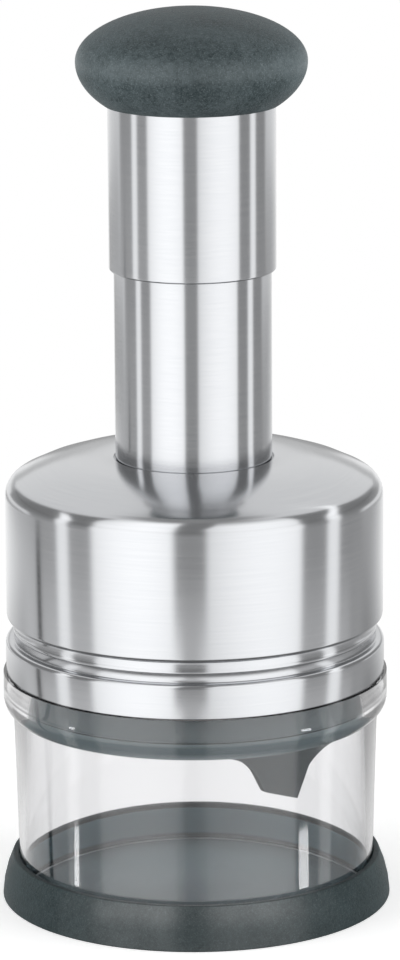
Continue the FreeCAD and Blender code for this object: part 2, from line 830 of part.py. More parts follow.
def half_ellipsoid(name, height, low, high):
    """Half of the knob's outside, above or below its widest line."""
    half = doc.addObject("Part::Ellipsoid", name)
    half.setExpression("Radius1", height.text)
    half.setExpression("Radius2", size.knob_radius.text)
    half.Angle1 = low
    half.Angle2 = high
    half.setExpression("Placement.Base.z", at.knob_middle.text)
    return half


def make_knob_grip():
    """Soft mushroom-shaped grip moulded over the core."""
    dome = half_ellipsoid("knob_dome", size.knob_crown, 0, 90)
    belly = half_ellipsoid("knob_belly", size.knob_belly, -90, 0)
    outside = boolean("Fuse", "knob_outside", dome, belly)
    gap = size.mould_gap
    below = at.knob_middle - size.knob_belly - gap
    neck = cylinder("knob_neck", at.sleeve_radius + gap, below, at.ceiling)
    collar_radius = at.sleeve_radius + gap * 2 + size.core_skirt_wall
    collar = cylinder("knob_collar", collar_radius, at.ceiling - size.core_skirt, at.ceiling)
    plate = cylinder("knob_plate", at.core_radius + gap, at.ceiling, at.core_top)
    nut = cylinder("knob_nut_room", size.nut_radius + gap, at.core_top, at.nut_top)
    hollow = doc.addObject("Part::MultiFuse", "knob_hollow")
    hollow.Shapes = [neck, collar, plate, nut]
    return boolean("Cut", "knob_grip", outside, hollow)


def make_upper_sleeve():
    """Upper steel sleeve: slides down over the guide tube."""
    return turned_body("upper_sleeve", [
        Corner(at.sleeve_bore, at.sleeve_bottom),
        Corner(at.sleeve_radius, at.sleeve_bottom, round=size.sleeve_edge_round),
        Corner(at.sleeve_radius, at.ceiling),
        Corner(at.sleeve_bore, at.ceiling),
    ])


def make_return_spring():
    """Compression spring between its seat and the knob ceiling."""
    inset = size.spring_wire + size.spring_end_gap
    height = at.ceiling - at.spring_bottom - inset * 2
    helix = doc.addObject("Part::Helix", "spring_line")
    helix.setExpression("Radius", size.spring_radius.text)
    helix.setExpression("Height", height.text)
    helix.setExpression("Pitch", (height / size.spring_turns).text)
    wire = doc.addObject("Part::Circle", "spring_section")
    wire.setExpression("Radius", size.spring_wire.text)
    wire.Placement = FreeCAD.Placement(Vector(), FreeCAD.Rotation(Vector(1, 0, 0), 90))
    wire.setExpression("Placement.Base.x", size.spring_radius.text)
    coil = doc.addObject("Part::Sweep", "return_spring")
    coil.Sections = [wire]
    coil.Spine = (helix, [])
    coil.Solid = True
    coil.Frenet = True
    coil.setExpression("Placement.Base.z", (at.spring_bottom + inset).text)
    return coil


# ---------------------------------------------------------------- blade unit and wiper

def zigzag_outline(half_thickness):
    """Both sides of the folded strip, seen from above, with mitred folds."""
    leg = root(at.blade_pitch * at.blade_pitch + size.blade_depth * size.blade_depth)
    shift = half_thickness * leg / at.blade_pitch
    folds = int(size.blade_folds.value)
    middle = (size.blade_folds - 1) / 2
    near, far = [], []
    for fold in range(folds):
        across = (Size.of(float(fold)) - middle) * at.blade_pitch
        along = size.blade_depth / 2 if fold % 2 else -size.blade_depth / 2
        near.append(Corner(across, along - shift))
        far.append(Corner(across, along + shift))
    return near + far[::-1]


def make_zigzag_blade():
    """Folded steel strip: upright above, ground down to a cutting edge along the bottom."""
    body = new_body("zigzag_blade")
    thick = zigzag_outline(size.blade_thickness / 2)
    bevel_top = at.blade_tip + size.blade_bevel
    strip = new_sketch(body, "blade_strip", "XY_Plane", thick, bevel_top)
    add_pad(body, strip, "blade_upright", at.blade_top - bevel_top)
    wide = new_sketch(body, "blade_bevel_top", "XY_Plane", thick, bevel_top)
    thin = new_sketch(body, "blade_edge_line", "XY_Plane",
                      zigzag_outline(size.blade_edge / 2), at.blade_tip)
    edge = body.newObject("PartDesign::AdditiveLoft", "blade_ground_edge")
    edge.Profile = thin
    edge.Sections = [wide]
    edge.Ruled = True
    body.Tip = edge
    doc.recompute()
    return body


def make_blade_carrier():
    """Moulded disc that holds the blade, with a hub for the swivel and a ring of index teeth."""
    screw_room = size.foot_screw_head_radius + size.swivel_gap
    body = turned_body("blade_carrier", [
        Corner(ZERO, at.carrier_bottom),
        Corner(at.carrier_radius, at.carrier_bottom),
        Corner(at.carrier_radius, at.carrier_top),
        Corner(at.hub_radius, at.carrier_top),
        Corner(at.hub_radius, at.hub_top),
        Corner(at.pocket_radius, at.hub_top),
        Corner(at.pocket_radius, at.pocket_floor),
        Corner(screw_room, at.pocket_floor),
        Corner(screw_room, at.screw_head_bottom - size.swivel_gap),
        Corner(ZERO, at.screw_head_bottom - size.swivel_gap),
    ])
    add_teeth(body, "carrier", at.carrier_top, at.carrier_top + size.tooth_height)
    outline = zigzag_outline(size.blade_thickness / 2 + size.mould_gap)
    socket = new_sketch(body, "blade_socket", "XY_Plane", outline, at.carrier_bottom)
    add_pocket(body, socket, "blade_socket_cut", size.blade_socket, True)
    return drilled_for_cap(body)


def screw_place(step):
    """Centre of a cap screw on the hub wall."""
    circle = (at.hub_radius + at.pocket_radius) / 2
    angle = Size.of(360.0 * step) / size.cap_screw_count
    return circle * cosine(angle), circle * sine(angle)


def drilled_for_cap(body):
    """Cut the cap screws' pilot holes into the hub."""
    depth = at.cap_top - size.cap_screw_length
    radius = size.cap_screw_radius + size.mould_gap
    holes = doc.addObject("Part::MultiFuse", body.Name + "_holes")
    holes.Shapes = [
        cylinder(f"{body.Name}_hole_{step}", radius, depth, at.cap_top, *screw_place(step))
        for step in range(int(size.cap_screw_count.value))
    ]
    return boolean("Cut", body.Name + "_drilled", body, holes)


def make_swivel_cap():
    """Ring screwed on the hub: it keeps the rod's foot in its pocket and stops the stroke above."""
    bore = size.rod_radius + size.swivel_gap
    ring = turned_body("swivel_cap", level_ring(bore, at.hub_radius, at.hub_top, at.cap_top))
    shank = size.cap_screw_radius + size.mould_gap
    head = size.cap_screw_head_radius + size.mould_gap
    head_bottom = at.cap_top - size.cap_screw_head
    tools = []
    for step in range(int(size.cap_screw_count.value)):
        place = screw_place(step)
        tools.append(cylinder(f"cap_hole_{step}", shank, at.hub_top, at.cap_top, *place))
        tools.append(cylinder(f"cap_sink_{step}", head, head_bottom, at.cap_top, *place))
    holes = doc.addObject("Part::MultiFuse", "cap_holes")
    holes.Shapes = tools
    return boolean("Cut", "swivel_cap_drilled", ring, holes)


def make_cap_screws():
    """Small screws that hold the swivel cap, as one group of separate solids."""
    screws = []
    head_bottom = at.cap_top - size.cap_screw_head
    tip = at.cap_top - size.cap_screw_length
    for step in range(int(size.cap_screw_count.value)):
        place = screw_place(step)
        head = cylinder(f"screw_head_{step}", size.cap_screw_head_radius, head_bottom, at.cap_top, *place)
        shank = cylinder(f"screw_shank_{step}", size.cap_screw_radius, tip, head_bottom, *place)
        screws.append(boolean("Fuse", f"cap_screw_{step}", head, shank))
    group = doc.addObject("Part::Compound", "cap_screws")
    group.Links = screws
    return group


def make_thrust_washer():
    """Plastic washer under the rod's foot, where the blade unit turns."""
    inner = size.foot_screw_head_radius + size.swivel_gap * 2
    outline = level_ring(inner, size.foot_radius, at.pocket_floor, at.washer_top)
    return turned_body("thrust_washer", outline)


def tab_outline():
    """The wiping tab unrolled flat: its corners, its sides and the two flares."""
    edge = at.skirt_bottom
    flare = edge - size.tab_flare_drop
    buried = edge + size.wiper_skirt_drop
    return [
        Corner(-size.tab_left, edge - size.tab_left_drop),
        Corner(size.tab_right, edge - size.tab_right_drop),
        Corner(size.tab_neck_right, flare, arc=size.tab_flare_radius_right, side=-1),
        Corner(size.tab_flare_right, edge),
        Corner(size.tab_flare_right, buried),
        Corner(-size.tab_flare_left, buried),
        Corner(-size.tab_flare_left, edge, arc=size.tab_flare_radius_left, side=-1),
        Corner(-size.tab_neck_left, flare),
    ]


def make_wiper_tab():
    """The tab bent to the cup wall: the flat outline kept only where the skirt's ring is."""
    block = new_body("tab_block")
    outline = tab_outline()
    sketch = new_sketch(block, "tab_outline", "XZ_Plane", outline)
    add_pad(block, sketch, "tab_pad", size.base_radius)
    block.Placement = FreeCAD.Placement(Vector(), FreeCAD.Rotation(Vector(0, 0, 1), 29))
    block.setExpression("Placement.Rotation.Angle", size.tab_azimuth.text)
    low = at.skirt_bottom - size.tab_right_drop
    outer = cylinder("tab_outer", at.skirt_radius, low, at.plate_bottom)
    inner = cylinder("tab_inner", at.skirt_radius - size.wiper_skirt_wall, low, at.plate_bottom)
    ring = boolean("Cut", "tab_wall", outer, inner)
    return boolean("Common", "wiper_tab", ring, block)


def make_wiper_plate():
    """Turning plate with the blade slot, a skirt along the cup wall, hooks and the wiping tab."""
    skirt_bore = at.skirt_radius - size.wiper_skirt_wall
    hook_bottom = at.ledge_top + size.turn_gap
    hook_top = hook_bottom + size.hook_lip_height
    body = turned_body("wiper_body", [
        Corner(ZERO, at.plate_bottom),
        Corner(skirt_bore, at.plate_bottom),
        Corner(skirt_bore, at.skirt_bottom),
        Corner(at.skirt_radius, at.skirt_bottom),
        Corner(at.skirt_radius, at.skirt_top),
        Corner(skirt_bore, at.skirt_top),
        Corner(skirt_bore, at.plate_top),
        Corner(at.hook_radius, at.plate_top),
        Corner(at.hook_radius, hook_bottom),
        Corner(at.hook_radius + size.hook_lip, hook_bottom),
        Corner(at.hook_radius, hook_top),
        Corner(at.hook_bore, hook_top),
        Corner(at.hook_bore, at.plate_top),
        Corner(ZERO, at.plate_top),
    ])
    half = size.hook_slot / 2
    gap = [Corner(-half, at.plate_top), Corner(half, at.plate_top),
           Corner(half, hook_top), Corner(-half, hook_top)]
    sketch = new_sketch(body, "hook_gap", "YZ_Plane", gap, at.hook_bore - size.hook_wall)
    cut = add_pocket(body, sketch, "hook_gap_cut", size.hook_wall * 4, True)
    add_ring_pattern(body, cut, "hook_gaps", size.hook_count)
    outline = zigzag_outline(size.blade_thickness / 2 + size.blade_slot_gap)
    slot = new_sketch(body, "blade_slot", "XY_Plane", outline, at.plate_bottom)
    add_pocket(body, slot, "blade_slot_cut", size.wiper_plate_thickness, True)
    return boolean("Fuse", "wiper_plate", body, make_wiper_tab())


# ---------------------------------------------------------------- build, check and write

def build_all():
    """Every piece under the name of its node."""
    return {
        "base_tray": make_base_tray(),
        "base_grip": make_base_grip(),
        "chopping_cup": make_chopping_cup(),
        "housing_shell": make_housing_shell(),
        "inner_frame": make_inner_frame(),
        "guide_tube": make_guide_tube(),
        "slide_ring": make_slide_ring(),
        "guide_bush": make_guide_bush(),
        "spring_seat": make_spring_seat(),
        "index_ring": make_index_ring(),
        "plunger_rod": make_plunger_rod(),
        "rod_foot": make_rod_foot(),
        "foot_screw": make_foot_screw(),
        "knob_core": make_knob_core(),
        "rod_nut": make_rod_nut(),
        "knob_grip": make_knob_grip(),
        "upper_sleeve": make_upper_sleeve(),
        "return_spring": make_return_spring(),
        "wiper_plate": make_wiper_plate(),
        "zigzag_blade": make_zigzag_blade(),
        "blade_carrier": make_blade_carrier(),
        "swivel_cap": make_swivel_cap(),
        "cap_screws": make_cap_screws(),
        "thrust_washer": make_thrust_washer(),
    }


def check(pieces):
    """Stop when an object failed or a piece has no good shape."""
    for item in doc.Objects:
        if "Invalid" in item.State or "Error" in item.State:
            raise RuntimeError(f"{item.Name} failed: {item.State}")
    for name, piece in pieces.items():
        if piece.Shape.isNull() or not piece.Shape.isValid():
            raise RuntimeError(name + " has no valid shape")


def write(pieces):
    os.makedirs("parts", exist_ok=True)
    for name, piece in pieces.items():
        piece.Shape.exportStep(f"parts/{name}.step")
        box = piece.Shape.BoundBox
        print(f"{name:16} solids {len(piece.Shape.Solids)}  volume {piece.Shape.Volume:10.1f}"
              f"  z {box.ZMin:7.2f} to {box.ZMax:7.2f}  width {box.XLength:6.2f}")


pieces = build_all()
doc.recompute()
for name, piece in pieces.items():
    piece.Label = name
check(pieces)
write(pieces)
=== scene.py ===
# %% [markdown]
# # A plunger food chopper, finished in Blender
#
# The chopper is a steel drum on a clear cup. A palm-sized knob on a telescoping steel tube drives
# a zigzag blade down into the cup. The construction comes ready made as a fixed frame: every part
# at its real size, in metres, standing on z = 0 with the front towards -Y. What is left to do here
# is what the eye sees: fine turned surfaces, rounded edges and real finishes.

# %% Load the frame
import json
import math

import bpy
from mathutils import Matrix, Vector


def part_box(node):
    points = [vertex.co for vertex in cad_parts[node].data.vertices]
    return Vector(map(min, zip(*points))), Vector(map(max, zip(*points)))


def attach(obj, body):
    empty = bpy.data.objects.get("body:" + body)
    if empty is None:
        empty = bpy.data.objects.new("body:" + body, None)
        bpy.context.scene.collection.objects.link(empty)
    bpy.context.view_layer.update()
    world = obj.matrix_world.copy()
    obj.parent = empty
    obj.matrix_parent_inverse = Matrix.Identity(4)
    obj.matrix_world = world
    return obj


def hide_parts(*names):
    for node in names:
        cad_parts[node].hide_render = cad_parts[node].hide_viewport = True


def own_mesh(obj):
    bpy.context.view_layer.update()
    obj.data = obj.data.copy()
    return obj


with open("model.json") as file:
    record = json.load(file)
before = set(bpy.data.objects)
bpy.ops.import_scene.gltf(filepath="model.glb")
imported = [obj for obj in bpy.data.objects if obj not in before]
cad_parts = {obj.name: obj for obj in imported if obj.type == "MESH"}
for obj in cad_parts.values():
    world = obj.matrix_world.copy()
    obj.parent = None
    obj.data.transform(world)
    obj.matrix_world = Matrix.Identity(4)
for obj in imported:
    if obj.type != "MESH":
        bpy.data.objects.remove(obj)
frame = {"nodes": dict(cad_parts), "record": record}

scene = bpy.context.scene
nodes = frame["nodes"]
MM = 0.001
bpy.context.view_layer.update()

# %% [markdown]
# ## The camera
#
# The chopper is seen from the front, a little from above, through a long lens: nearly parallel
# sight lines keep the drum and the tube upright. A camera could be aimed with a Track To
# constraint, but three plain angles say exactly how it stands. The slight roll leans the object
# a hair to one side, and the small shift moves it off the middle of the picture.

# %% Camera
PICTURE_HEIGHT = 960  # pixels on the long side
FOCAL_PIXELS = 4930  # focal length in the same pixels
AXIS_OFF_CENTRE = 6.0  # pixels from the picture's middle to the object's axis
SENSOR = 36.0  # mm
EYE_PLACE = (0.0, -1.15654, 0.38270)
LOOKS_DOWN = 13.563  # degrees
ROLL = 0.352  # degrees

eye = bpy.data.cameras.new("eye")
eye.sensor_fit = "VERTICAL"
eye.sensor_height = SENSOR
eye.sensor_width = SENSOR
eye.lens = SENSOR * FOCAL_PIXELS / PICTURE_HEIGHT
eye.shift_x = AXIS_OFF_CENTRE / PICTURE_HEIGHT
camera = bpy.data.objects.new("camera", eye)
camera.location = EYE_PLACE
tilt = Matrix.Rotation(math.radians(90 - LOOKS_DOWN), 3, "X")
roll = Matrix.Rotation(math.radians(-ROLL), 3, "Z")
camera.rotation_euler = (tilt @ roll).to_euler()
scene.collection.objects.link(camera)
scene.camera = camera
scene.view_settings.view_transform = "Standard"
print("lens", round(eye.lens, 2), "mm")

# %% [markdown]
# ## A lathe for round pieces
#
# Nearly every visible piece of the chopper was turned, drawn or moulded round one axis. The Screw
# modifier would make such shapes, but a small lathe in Python keeps the outline readable. First
# comes the outline itself: straight runs and true arcs of radius and height.

# %% Outline
ARC_STEP = math.radians(9)  # longest turn of one facet along an arc


class Outline:
    """A closed path of radii and heights in millimetres, drawn with straight runs and arcs."""

    def __init__(self, radius, height):
        self.points = [(radius, height)]

    def to(self, *corners):
        self.points.extend(corners)
        return self

    def arc(self, radius, height, bend, side=1):
        """An arc of radius bend to a new point; its centre is left (1) or right (-1) of the way."""
        start, end = Vector(self.points[-1]), Vector((radius, height))
        chord = end - start
        depth = math.sqrt(max(bend * bend - chord.length_squared / 4, 0.0))
        left = Vector((-chord.y, chord.x)).normalized()
        centre = (start + end) / 2 + left * depth * side
        first = math.atan2(start.y - centre.y, start.x - centre.x)
        turn = math.atan2(end.y - centre.y, end.x - centre.x) - first
        turn = (turn + math.pi) % (2 * math.pi) - math.pi
        steps = max(2, math.ceil(abs(turn) / ARC_STEP))
        for step in range(1, steps):
            angle = first + turn * step / steps
            self.points.append((centre.x + bend * math.cos(angle),
                                centre.y + bend * math.sin(angle)))
        self.points.append((radius, height))
        return self


sample = Outline(1, 0).arc(0, 1, 1)
print("a quarter arc has", len(sample.points), "points")

# %% [markdown]
# The lathe turns an outline round Z. A point on the axis becomes one shared vertex, so a closed top
# is a fan of triangles and not a ring of edges without length. Everything else is quads.

# %% Lathe
AROUND = 240  # facets round the axis
ON_AXIS = 1e-6  # a smaller radius is a point on the axis


def add_mesh(name, points, faces, sharp=30):
    """A smooth-shaded mesh object whose edges stay crisp above a given angle in degrees."""
    mesh = bpy.data.meshes.new(name)
    mesh.from_pydata(points, [], faces)
    mesh.shade_smooth()
    mesh.set_sharp_from_angle(angle=math.radians(sharp))
    made = bpy.data.objects.new(name, mesh)
    scene.collection.objects.link(made)
    return made


def lathe(name, outline, sharp=30):
    """Turns a closed outline round Z; it runs anticlockwise with Z up and radius to the right."""
    points, rings = [], []
    for radius, height in outline.points:
        count = AROUND if radius > ON_AXIS else 1
        rings.append([len(points) + step for step in range(count)])
        for step in range(count):
            angle = 2 * math.pi * step / AROUND
            points.append((radius * MM * math.cos(angle), radius * MM * math.sin(angle),
                           height * MM))
    faces = []
    for ring, after in zip(rings, rings[1:] + rings[:1]):
        for step in range(AROUND):
            ahead = (step + 1) % AROUND
            near = [ring[step % len(ring)], ring[ahead % len(ring)]]
            far = [after[ahead % len(after)], after[step % len(after)]]
            corners = list(dict.fromkeys(near + far))
            if len(corners) > 2:
                faces.append(corners)
    made = add_mesh(name, points, faces, sharp)
    print(name, len(outline.points), "outline points,", len(faces), "faces")
    return made


print("lathe ready,", AROUND, "facets round")

# %% [markdown]
# Each turned piece stands for one part of the frame. It takes its main sizes from that part, so
# both stay the same size, and it rides on the same body, so the joints move it.

# %% Reach and fit
def reach(node):
    """Radius, lowest and highest height of a frame part, in millimetres."""
    low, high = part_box(node)
    return round(high.x / MM, 2), round(low.z / MM, 2), round(high.z / MM, 2)


def fit(piece, node, body):
    """The piece stands for a frame part: it hides it and rides on its body."""
    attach(piece, body)
    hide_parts(node)
    return piece


print("the frame's base reaches", reach("base_grip"), "mm")

# %% [markdown]
# ## The soft base
#
# The chopper stands on a shallow cap of thermoplastic rubber, moulded over a hard tray. The skirt
# flares to the table in one long arc, and its lip closes over the tray's rim. Rubber never has a
# knife edge, so each corner of the outline gets a small round.

# %% Base skirt
base_radius, ground, grip_rim = reach("base_grip")
tray_radius, tray_bottom, tray_rim = reach("base_tray")
TRAY_WALL = 1.0
LIP_WIDTH = 1.45
LIP_BEND = 0.4
LIP_LEAN = 0.12  # how far the flare ends outside the lip
FLARE_BEND = 26.0
FOOT_RING = 33.0  # inner radius of the non-slip ring
SOFT_ROUND = 0.3
tray_bore = tray_radius - TRAY_WALL
lip_radius = tray_bore + LIP_WIDTH

skirt = Outline(FOOT_RING, ground)
skirt.to((base_radius - SOFT_ROUND, ground)).arc(base_radius, ground + SOFT_ROUND, SOFT_ROUND)
skirt.arc(lip_radius + LIP_LEAN, grip_rim - SOFT_ROUND, FLARE_BEND)
skirt.arc(lip_radius - SOFT_ROUND, grip_rim, LIP_BEND)
skirt.to((tray_bore + SOFT_ROUND, grip_rim)).arc(tray_bore, grip_rim - SOFT_ROUND, SOFT_ROUND)
skirt.to((tray_bore, tray_rim), (tray_radius, tray_rim), (tray_radius, tray_bottom))
skirt.to((FOOT_RING, tray_bottom))
base_skirt = fit(lathe("base_skirt", skirt), "base_grip", "base")

# %% [markdown]
# ## The hard tray
#
# Food is chopped against the tray's floor, a glossy disc with a low wall that hugs the cup's foot.
# The inner corner has a fillet, as any moulded tray does, and it catches a thin line of light.

# %% Tray
TRAY_FLOOR = 1.2
FILLET = 0.45
floor_height = tray_bottom + TRAY_FLOOR

tray = Outline(0, tray_bottom)
tray.to((tray_radius - SOFT_ROUND, tray_bottom))
tray.arc(tray_radius, tray_bottom + SOFT_ROUND, SOFT_ROUND)
tray.to((tray_radius, tray_rim), (tray_bore + SOFT_ROUND, tray_rim))
tray.arc(tray_bore, tray_rim - SOFT_ROUND, SOFT_ROUND)
tray.to((tray_bore, floor_height + FILLET))
tray.arc(tray_bore - FILLET, floor_height, FILLET, side=-1).to((0, floor_height))
base_floor = fit(lathe("base_floor", tray), "base_tray", "base")

# %% [markdown]
# ## The clear cup
#
# The cup is a drafted tube of clear plastic, open at both ends, with a heavy collar at the top
# that bends out over a rounded bevel. Clear walls need real thickness on both sides: the light
# bends at each surface, and the thick collar shows the dark parts inside it magnified.

# %% Cup
collar_radius, foot, collar_top = reach("chopping_cup")
COLLAR_STEP = 2.37
COLLAR_HEIGHT = 5.9
BEVEL_HEIGHT = 4.4
BEVEL_BEND = 5.35
CUP_WALL = 2.85
WALL_DRAFT = 1.15
BORE_DRAFT = 0.3
CLEAR_ROUND = 0.4
CLEAR_EDGE = 0.05  # the collar meets the steel band with a tight edge
wall_radius = collar_radius - COLLAR_STEP
collar_bottom = collar_top - COLLAR_HEIGHT
bevel_bottom = collar_bottom - BEVEL_HEIGHT
cup_bore = wall_radius - CUP_WALL
foot_radius = wall_radius - WALL_DRAFT
foot_bore = cup_bore - BORE_DRAFT

cup = Outline(foot_bore + CLEAR_ROUND, foot)
cup.to((foot_radius - CLEAR_ROUND, foot)).arc(foot_radius, foot + CLEAR_ROUND, CLEAR_ROUND)
cup.to((wall_radius, bevel_bottom)).arc(collar_radius, collar_bottom, BEVEL_BEND)
cup.to((collar_radius, collar_top - CLEAR_EDGE))
cup.arc(collar_radius - CLEAR_EDGE, collar_top, CLEAR_EDGE)
cup.to((cup_bore + CLEAR_ROUND, collar_top)).arc(cup_bore, collar_top - CLEAR_ROUND, CLEAR_ROUND)
cup.to((foot_bore, foot + CLEAR_ROUND)).arc(foot_bore + CLEAR_ROUND, foot, CLEAR_ROUND)
clear_cup = fit(lathe("clear_cup", cup, sharp=50), "chopping_cup", "cup")

# %% [markdown]
# ## The steel housing
#
# The housing is one drawn sheet of stainless steel: a domed top, a tight shoulder, the drum, a
# groove rolled in with a fine bead at its bottom, and a band that meets the cup. Smooth metal shows
# every kink as a broken reflection, so the shoulder and the rolled corners are tangent arcs.

# %% Housing sizes
band_radius, shell_bottom, shell_top = reach("housing_shell")
SHELL_WALL = 0.8
DRUM_STEP = 0.3
GROOVE_FROM, GROOVE_HEIGHT, GROOVE_DEPTH = 8.4, 5.0, 1.7
BEAD = 1.2
ROLLED = 1.2  # radius of the rolled corners
EDGE = 0.25  # radius of the groove's inner corners
CUT_EDGE = 0.05
SHOULDER = 4.9
DOME_TURN = math.radians(28.6)
SEAT_RADIUS = 24.0
TUBE_RADIUS = 18.9
TUBE_HOLE_GAP = 0.3
HOLE_ROUND = 0.3

drum_radius = band_radius - DRUM_STEP
groove_bottom = shell_bottom + GROOVE_FROM
groove_top = groove_bottom + GROOVE_HEIGHT
neck_radius = drum_radius - GROOVE_DEPTH
groove_middle = (groove_bottom + groove_top) / 2
dome_bend = SHOULDER + (drum_radius - SEAT_RADIUS - SHOULDER) / math.sin(DOME_TURN)
shoulder_height = shell_top - dome_bend + (dome_bend - SHOULDER) * math.cos(DOME_TURN)


def dome_join(inset):
    """Where the dome's long arc meets the shoulder's short one, at a depth below the outside."""
    bend = dome_bend - inset
    return (SEAT_RADIUS + bend * math.sin(DOME_TURN),
            shell_top - dome_bend + bend * math.cos(DOME_TURN))


print("dome bends over", round(dome_bend, 1), "mm, drum radius", round(drum_radius, 2), "mm")

# %% [markdown]
# The outline starts at the tube's hole, runs down inside the sheet to the band's cut edge, and
# comes back up outside: band, groove, bead, drum, shoulder and dome.

# %% Housing
inner_roll = ROLLED - SHELL_WALL
inner_neck = neck_radius - SHELL_WALL
inner_band = band_radius - SHELL_WALL
hole = TUBE_RADIUS + TUBE_HOLE_GAP
shell = Outline(hole + HOLE_ROUND, shell_top)
shell.arc(hole, shell_top - HOLE_ROUND, HOLE_ROUND)
shell.to((hole, shell_top - SHELL_WALL), (SEAT_RADIUS, shell_top - SHELL_WALL))
shell.arc(*dome_join(SHELL_WALL), dome_bend - SHELL_WALL, side=-1)
shell.arc(drum_radius - SHELL_WALL, shoulder_height, SHOULDER - SHELL_WALL, side=-1)
shell.to((drum_radius - SHELL_WALL, groove_top + ROLLED))
shell.arc(drum_radius - ROLLED, groove_top + SHELL_WALL, inner_roll, side=-1)
shell.to((inner_neck, groove_top + SHELL_WALL), (inner_neck, groove_bottom - SHELL_WALL))
shell.to((band_radius - ROLLED, groove_bottom - SHELL_WALL))
shell.arc(inner_band, groove_bottom - ROLLED, inner_roll, side=-1)
shell.to((inner_band, shell_bottom), (band_radius - CUT_EDGE, shell_bottom))
shell.arc(band_radius, shell_bottom + CUT_EDGE, CUT_EDGE)
shell.to((band_radius, groove_bottom - ROLLED)).arc(band_radius - ROLLED, groove_bottom, ROLLED)
shell.to((neck_radius + EDGE, groove_bottom))
shell.arc(neck_radius, groove_bottom + EDGE, EDGE, side=-1)
shell.to((neck_radius, groove_middle - BEAD / 2)).arc(neck_radius, groove_middle + BEAD / 2, BEAD)
shell.to((neck_radius, groove_top - EDGE)).arc(neck_radius + EDGE, groove_top, EDGE, side=-1)
shell.to((drum_radius - ROLLED, groove_top)).arc(drum_radius, groove_top + ROLLED, ROLLED)
shell.to((drum_radius, shoulder_height))
shell.arc(*dome_join(0), SHOULDER).arc(SEAT_RADIUS, shell_top, dome_bend)
steel_housing = fit(lathe("steel_housing", shell), "housing_shell", "housing")

# %% [markdown]
# ## The telescoping tube
#
# Two thin steel tubes slide over each other. The lower one stands in the housing, and the upper
# sleeve comes down over it when the knob is pressed. Both ends that show are rolled over, so they
# end in a bright round edge and not in a raw cut.

# %% Tube and sleeve
flange_radius, flange_bottom, tube_top = reach("guide_tube")
sleeve_radius, sleeve_bottom, sleeve_top = reach("upper_sleeve")
TUBE_WALL = 0.8
SLEEVE_WALL = 0.6
TUBE_ROUND = 0.35
SLEEVE_ROUND = 0.5
tube_bore = TUBE_RADIUS - TUBE_WALL
flange_top = shell_top - SHELL_WALL

tube = Outline(tube_bore, flange_bottom)
tube.to((flange_radius, flange_bottom), (flange_radius, flange_top), (TUBE_RADIUS, flange_top))
tube.to((TUBE_RADIUS, tube_top - TUBE_ROUND)).arc(TUBE_RADIUS - TUBE_ROUND, tube_top, TUBE_ROUND)
tube.to((tube_bore, tube_top))
steel_tube = fit(lathe("steel_tube", tube), "guide_tube", "housing")

sleeve_bore = sleeve_radius - SLEEVE_WALL
sleeve = Outline(sleeve_bore, sleeve_bottom)
sleeve.to((sleeve_radius - SLEEVE_ROUND, sleeve_bottom))
sleeve.arc(sleeve_radius, sleeve_bottom + SLEEVE_ROUND, SLEEVE_ROUND)
sleeve.to((sleeve_radius, sleeve_top), (sleeve_bore, sleeve_top))
steel_sleeve = fit(lathe("steel_sleeve", sleeve), "upper_sleeve", "plunger")

# %% [markdown]
# ## The knob
#
# The knob is a soft mushroom that fills the palm: a flat dome above its widest line and a fuller
# round below it, both quarter ellipses, so the surface never shows an edge. A sphere scaled in Z
# could not have two different halves, so the outline is a formula. The neck rolls in to the sleeve.

# %% Knob
knob_radius, _, knob_top = reach("knob_grip")
KNOB_TRIM = 0.22  # it is drawn a hair slimmer than its solid
CROWN = 12.5
BELLY = 15.7
QUARTER_STEPS = 28
CORE_SKIRT = 7.0  # the hard core that the knob is moulded over, down to NUT_HEIGHT
CORE_COLLAR = 1.9
CORE_PLATE = 2.9
CORE_RIM = 2.25
NUT_ROOM, NUT_HEIGHT = 5.05, 3.2
NECK_ROUND = 0.8
MOULD_GAP = 0.05
widest = knob_radius - KNOB_TRIM
knob_middle = knob_top - CROWN
core_top = sleeve_top + CORE_PLATE
neck = sleeve_radius + MOULD_GAP
collar_out = neck + CORE_COLLAR
plate_out = sleeve_radius + CORE_RIM


def ellipse_point(turn, across, up):
    """A point of an upright ellipse, with the turn measured up from its widest line."""
    return across * math.cos(turn), up * math.sin(turn)


neck_turn = -math.acos((neck + NECK_ROUND) / widest)
neck_end = knob_middle + BELLY * math.sin(neck_turn)
knob = Outline(neck, neck_end + NECK_ROUND)
knob.arc(neck + NECK_ROUND, neck_end, NECK_ROUND)
for step in range(1, QUARTER_STEPS + 1):
    across, up = ellipse_point(neck_turn * (1 - step / QUARTER_STEPS), widest, BELLY)
    knob.to((across, knob_middle + up))
for step in range(1, QUARTER_STEPS):
    across, up = ellipse_point(math.pi / 2 * step / QUARTER_STEPS, widest, CROWN)
    knob.to((across, knob_middle + up))
knob.to((0, knob_top), (0, core_top + NUT_HEIGHT), (NUT_ROOM, core_top + NUT_HEIGHT))
knob.to((NUT_ROOM, core_top), (plate_out, core_top), (plate_out, sleeve_top))
knob.to((collar_out, sleeve_top), (collar_out, sleeve_top - CORE_SKIRT))
knob.to((neck, sleeve_top - CORE_SKIRT))
palm_knob = fit(lathe("palm_knob", knob), "knob_grip", "plunger")
print("knob neck ends at", round(neck_end, 2), "mm")

# %% [markdown]
# ## The return spring
#
# A coil spring stands on its steel seat inside the tube and pushes the knob back up. It is the one
# piece that changes its length, so it can't just ride on the knob: it rides on the housing, with its
# foot on the seat, at one length. The coil is a small wire circle swept up a helix.

# %% Spring
spring_radius, spring_bottom, spring_top = reach("return_spring")
SPRING_WIRE = 0.8  # radius of the wire
SPRING_TURNS = 13
STEPS_A_TURN = 36
WIRE_SIDES = 16
coil_radius = spring_radius - SPRING_WIRE


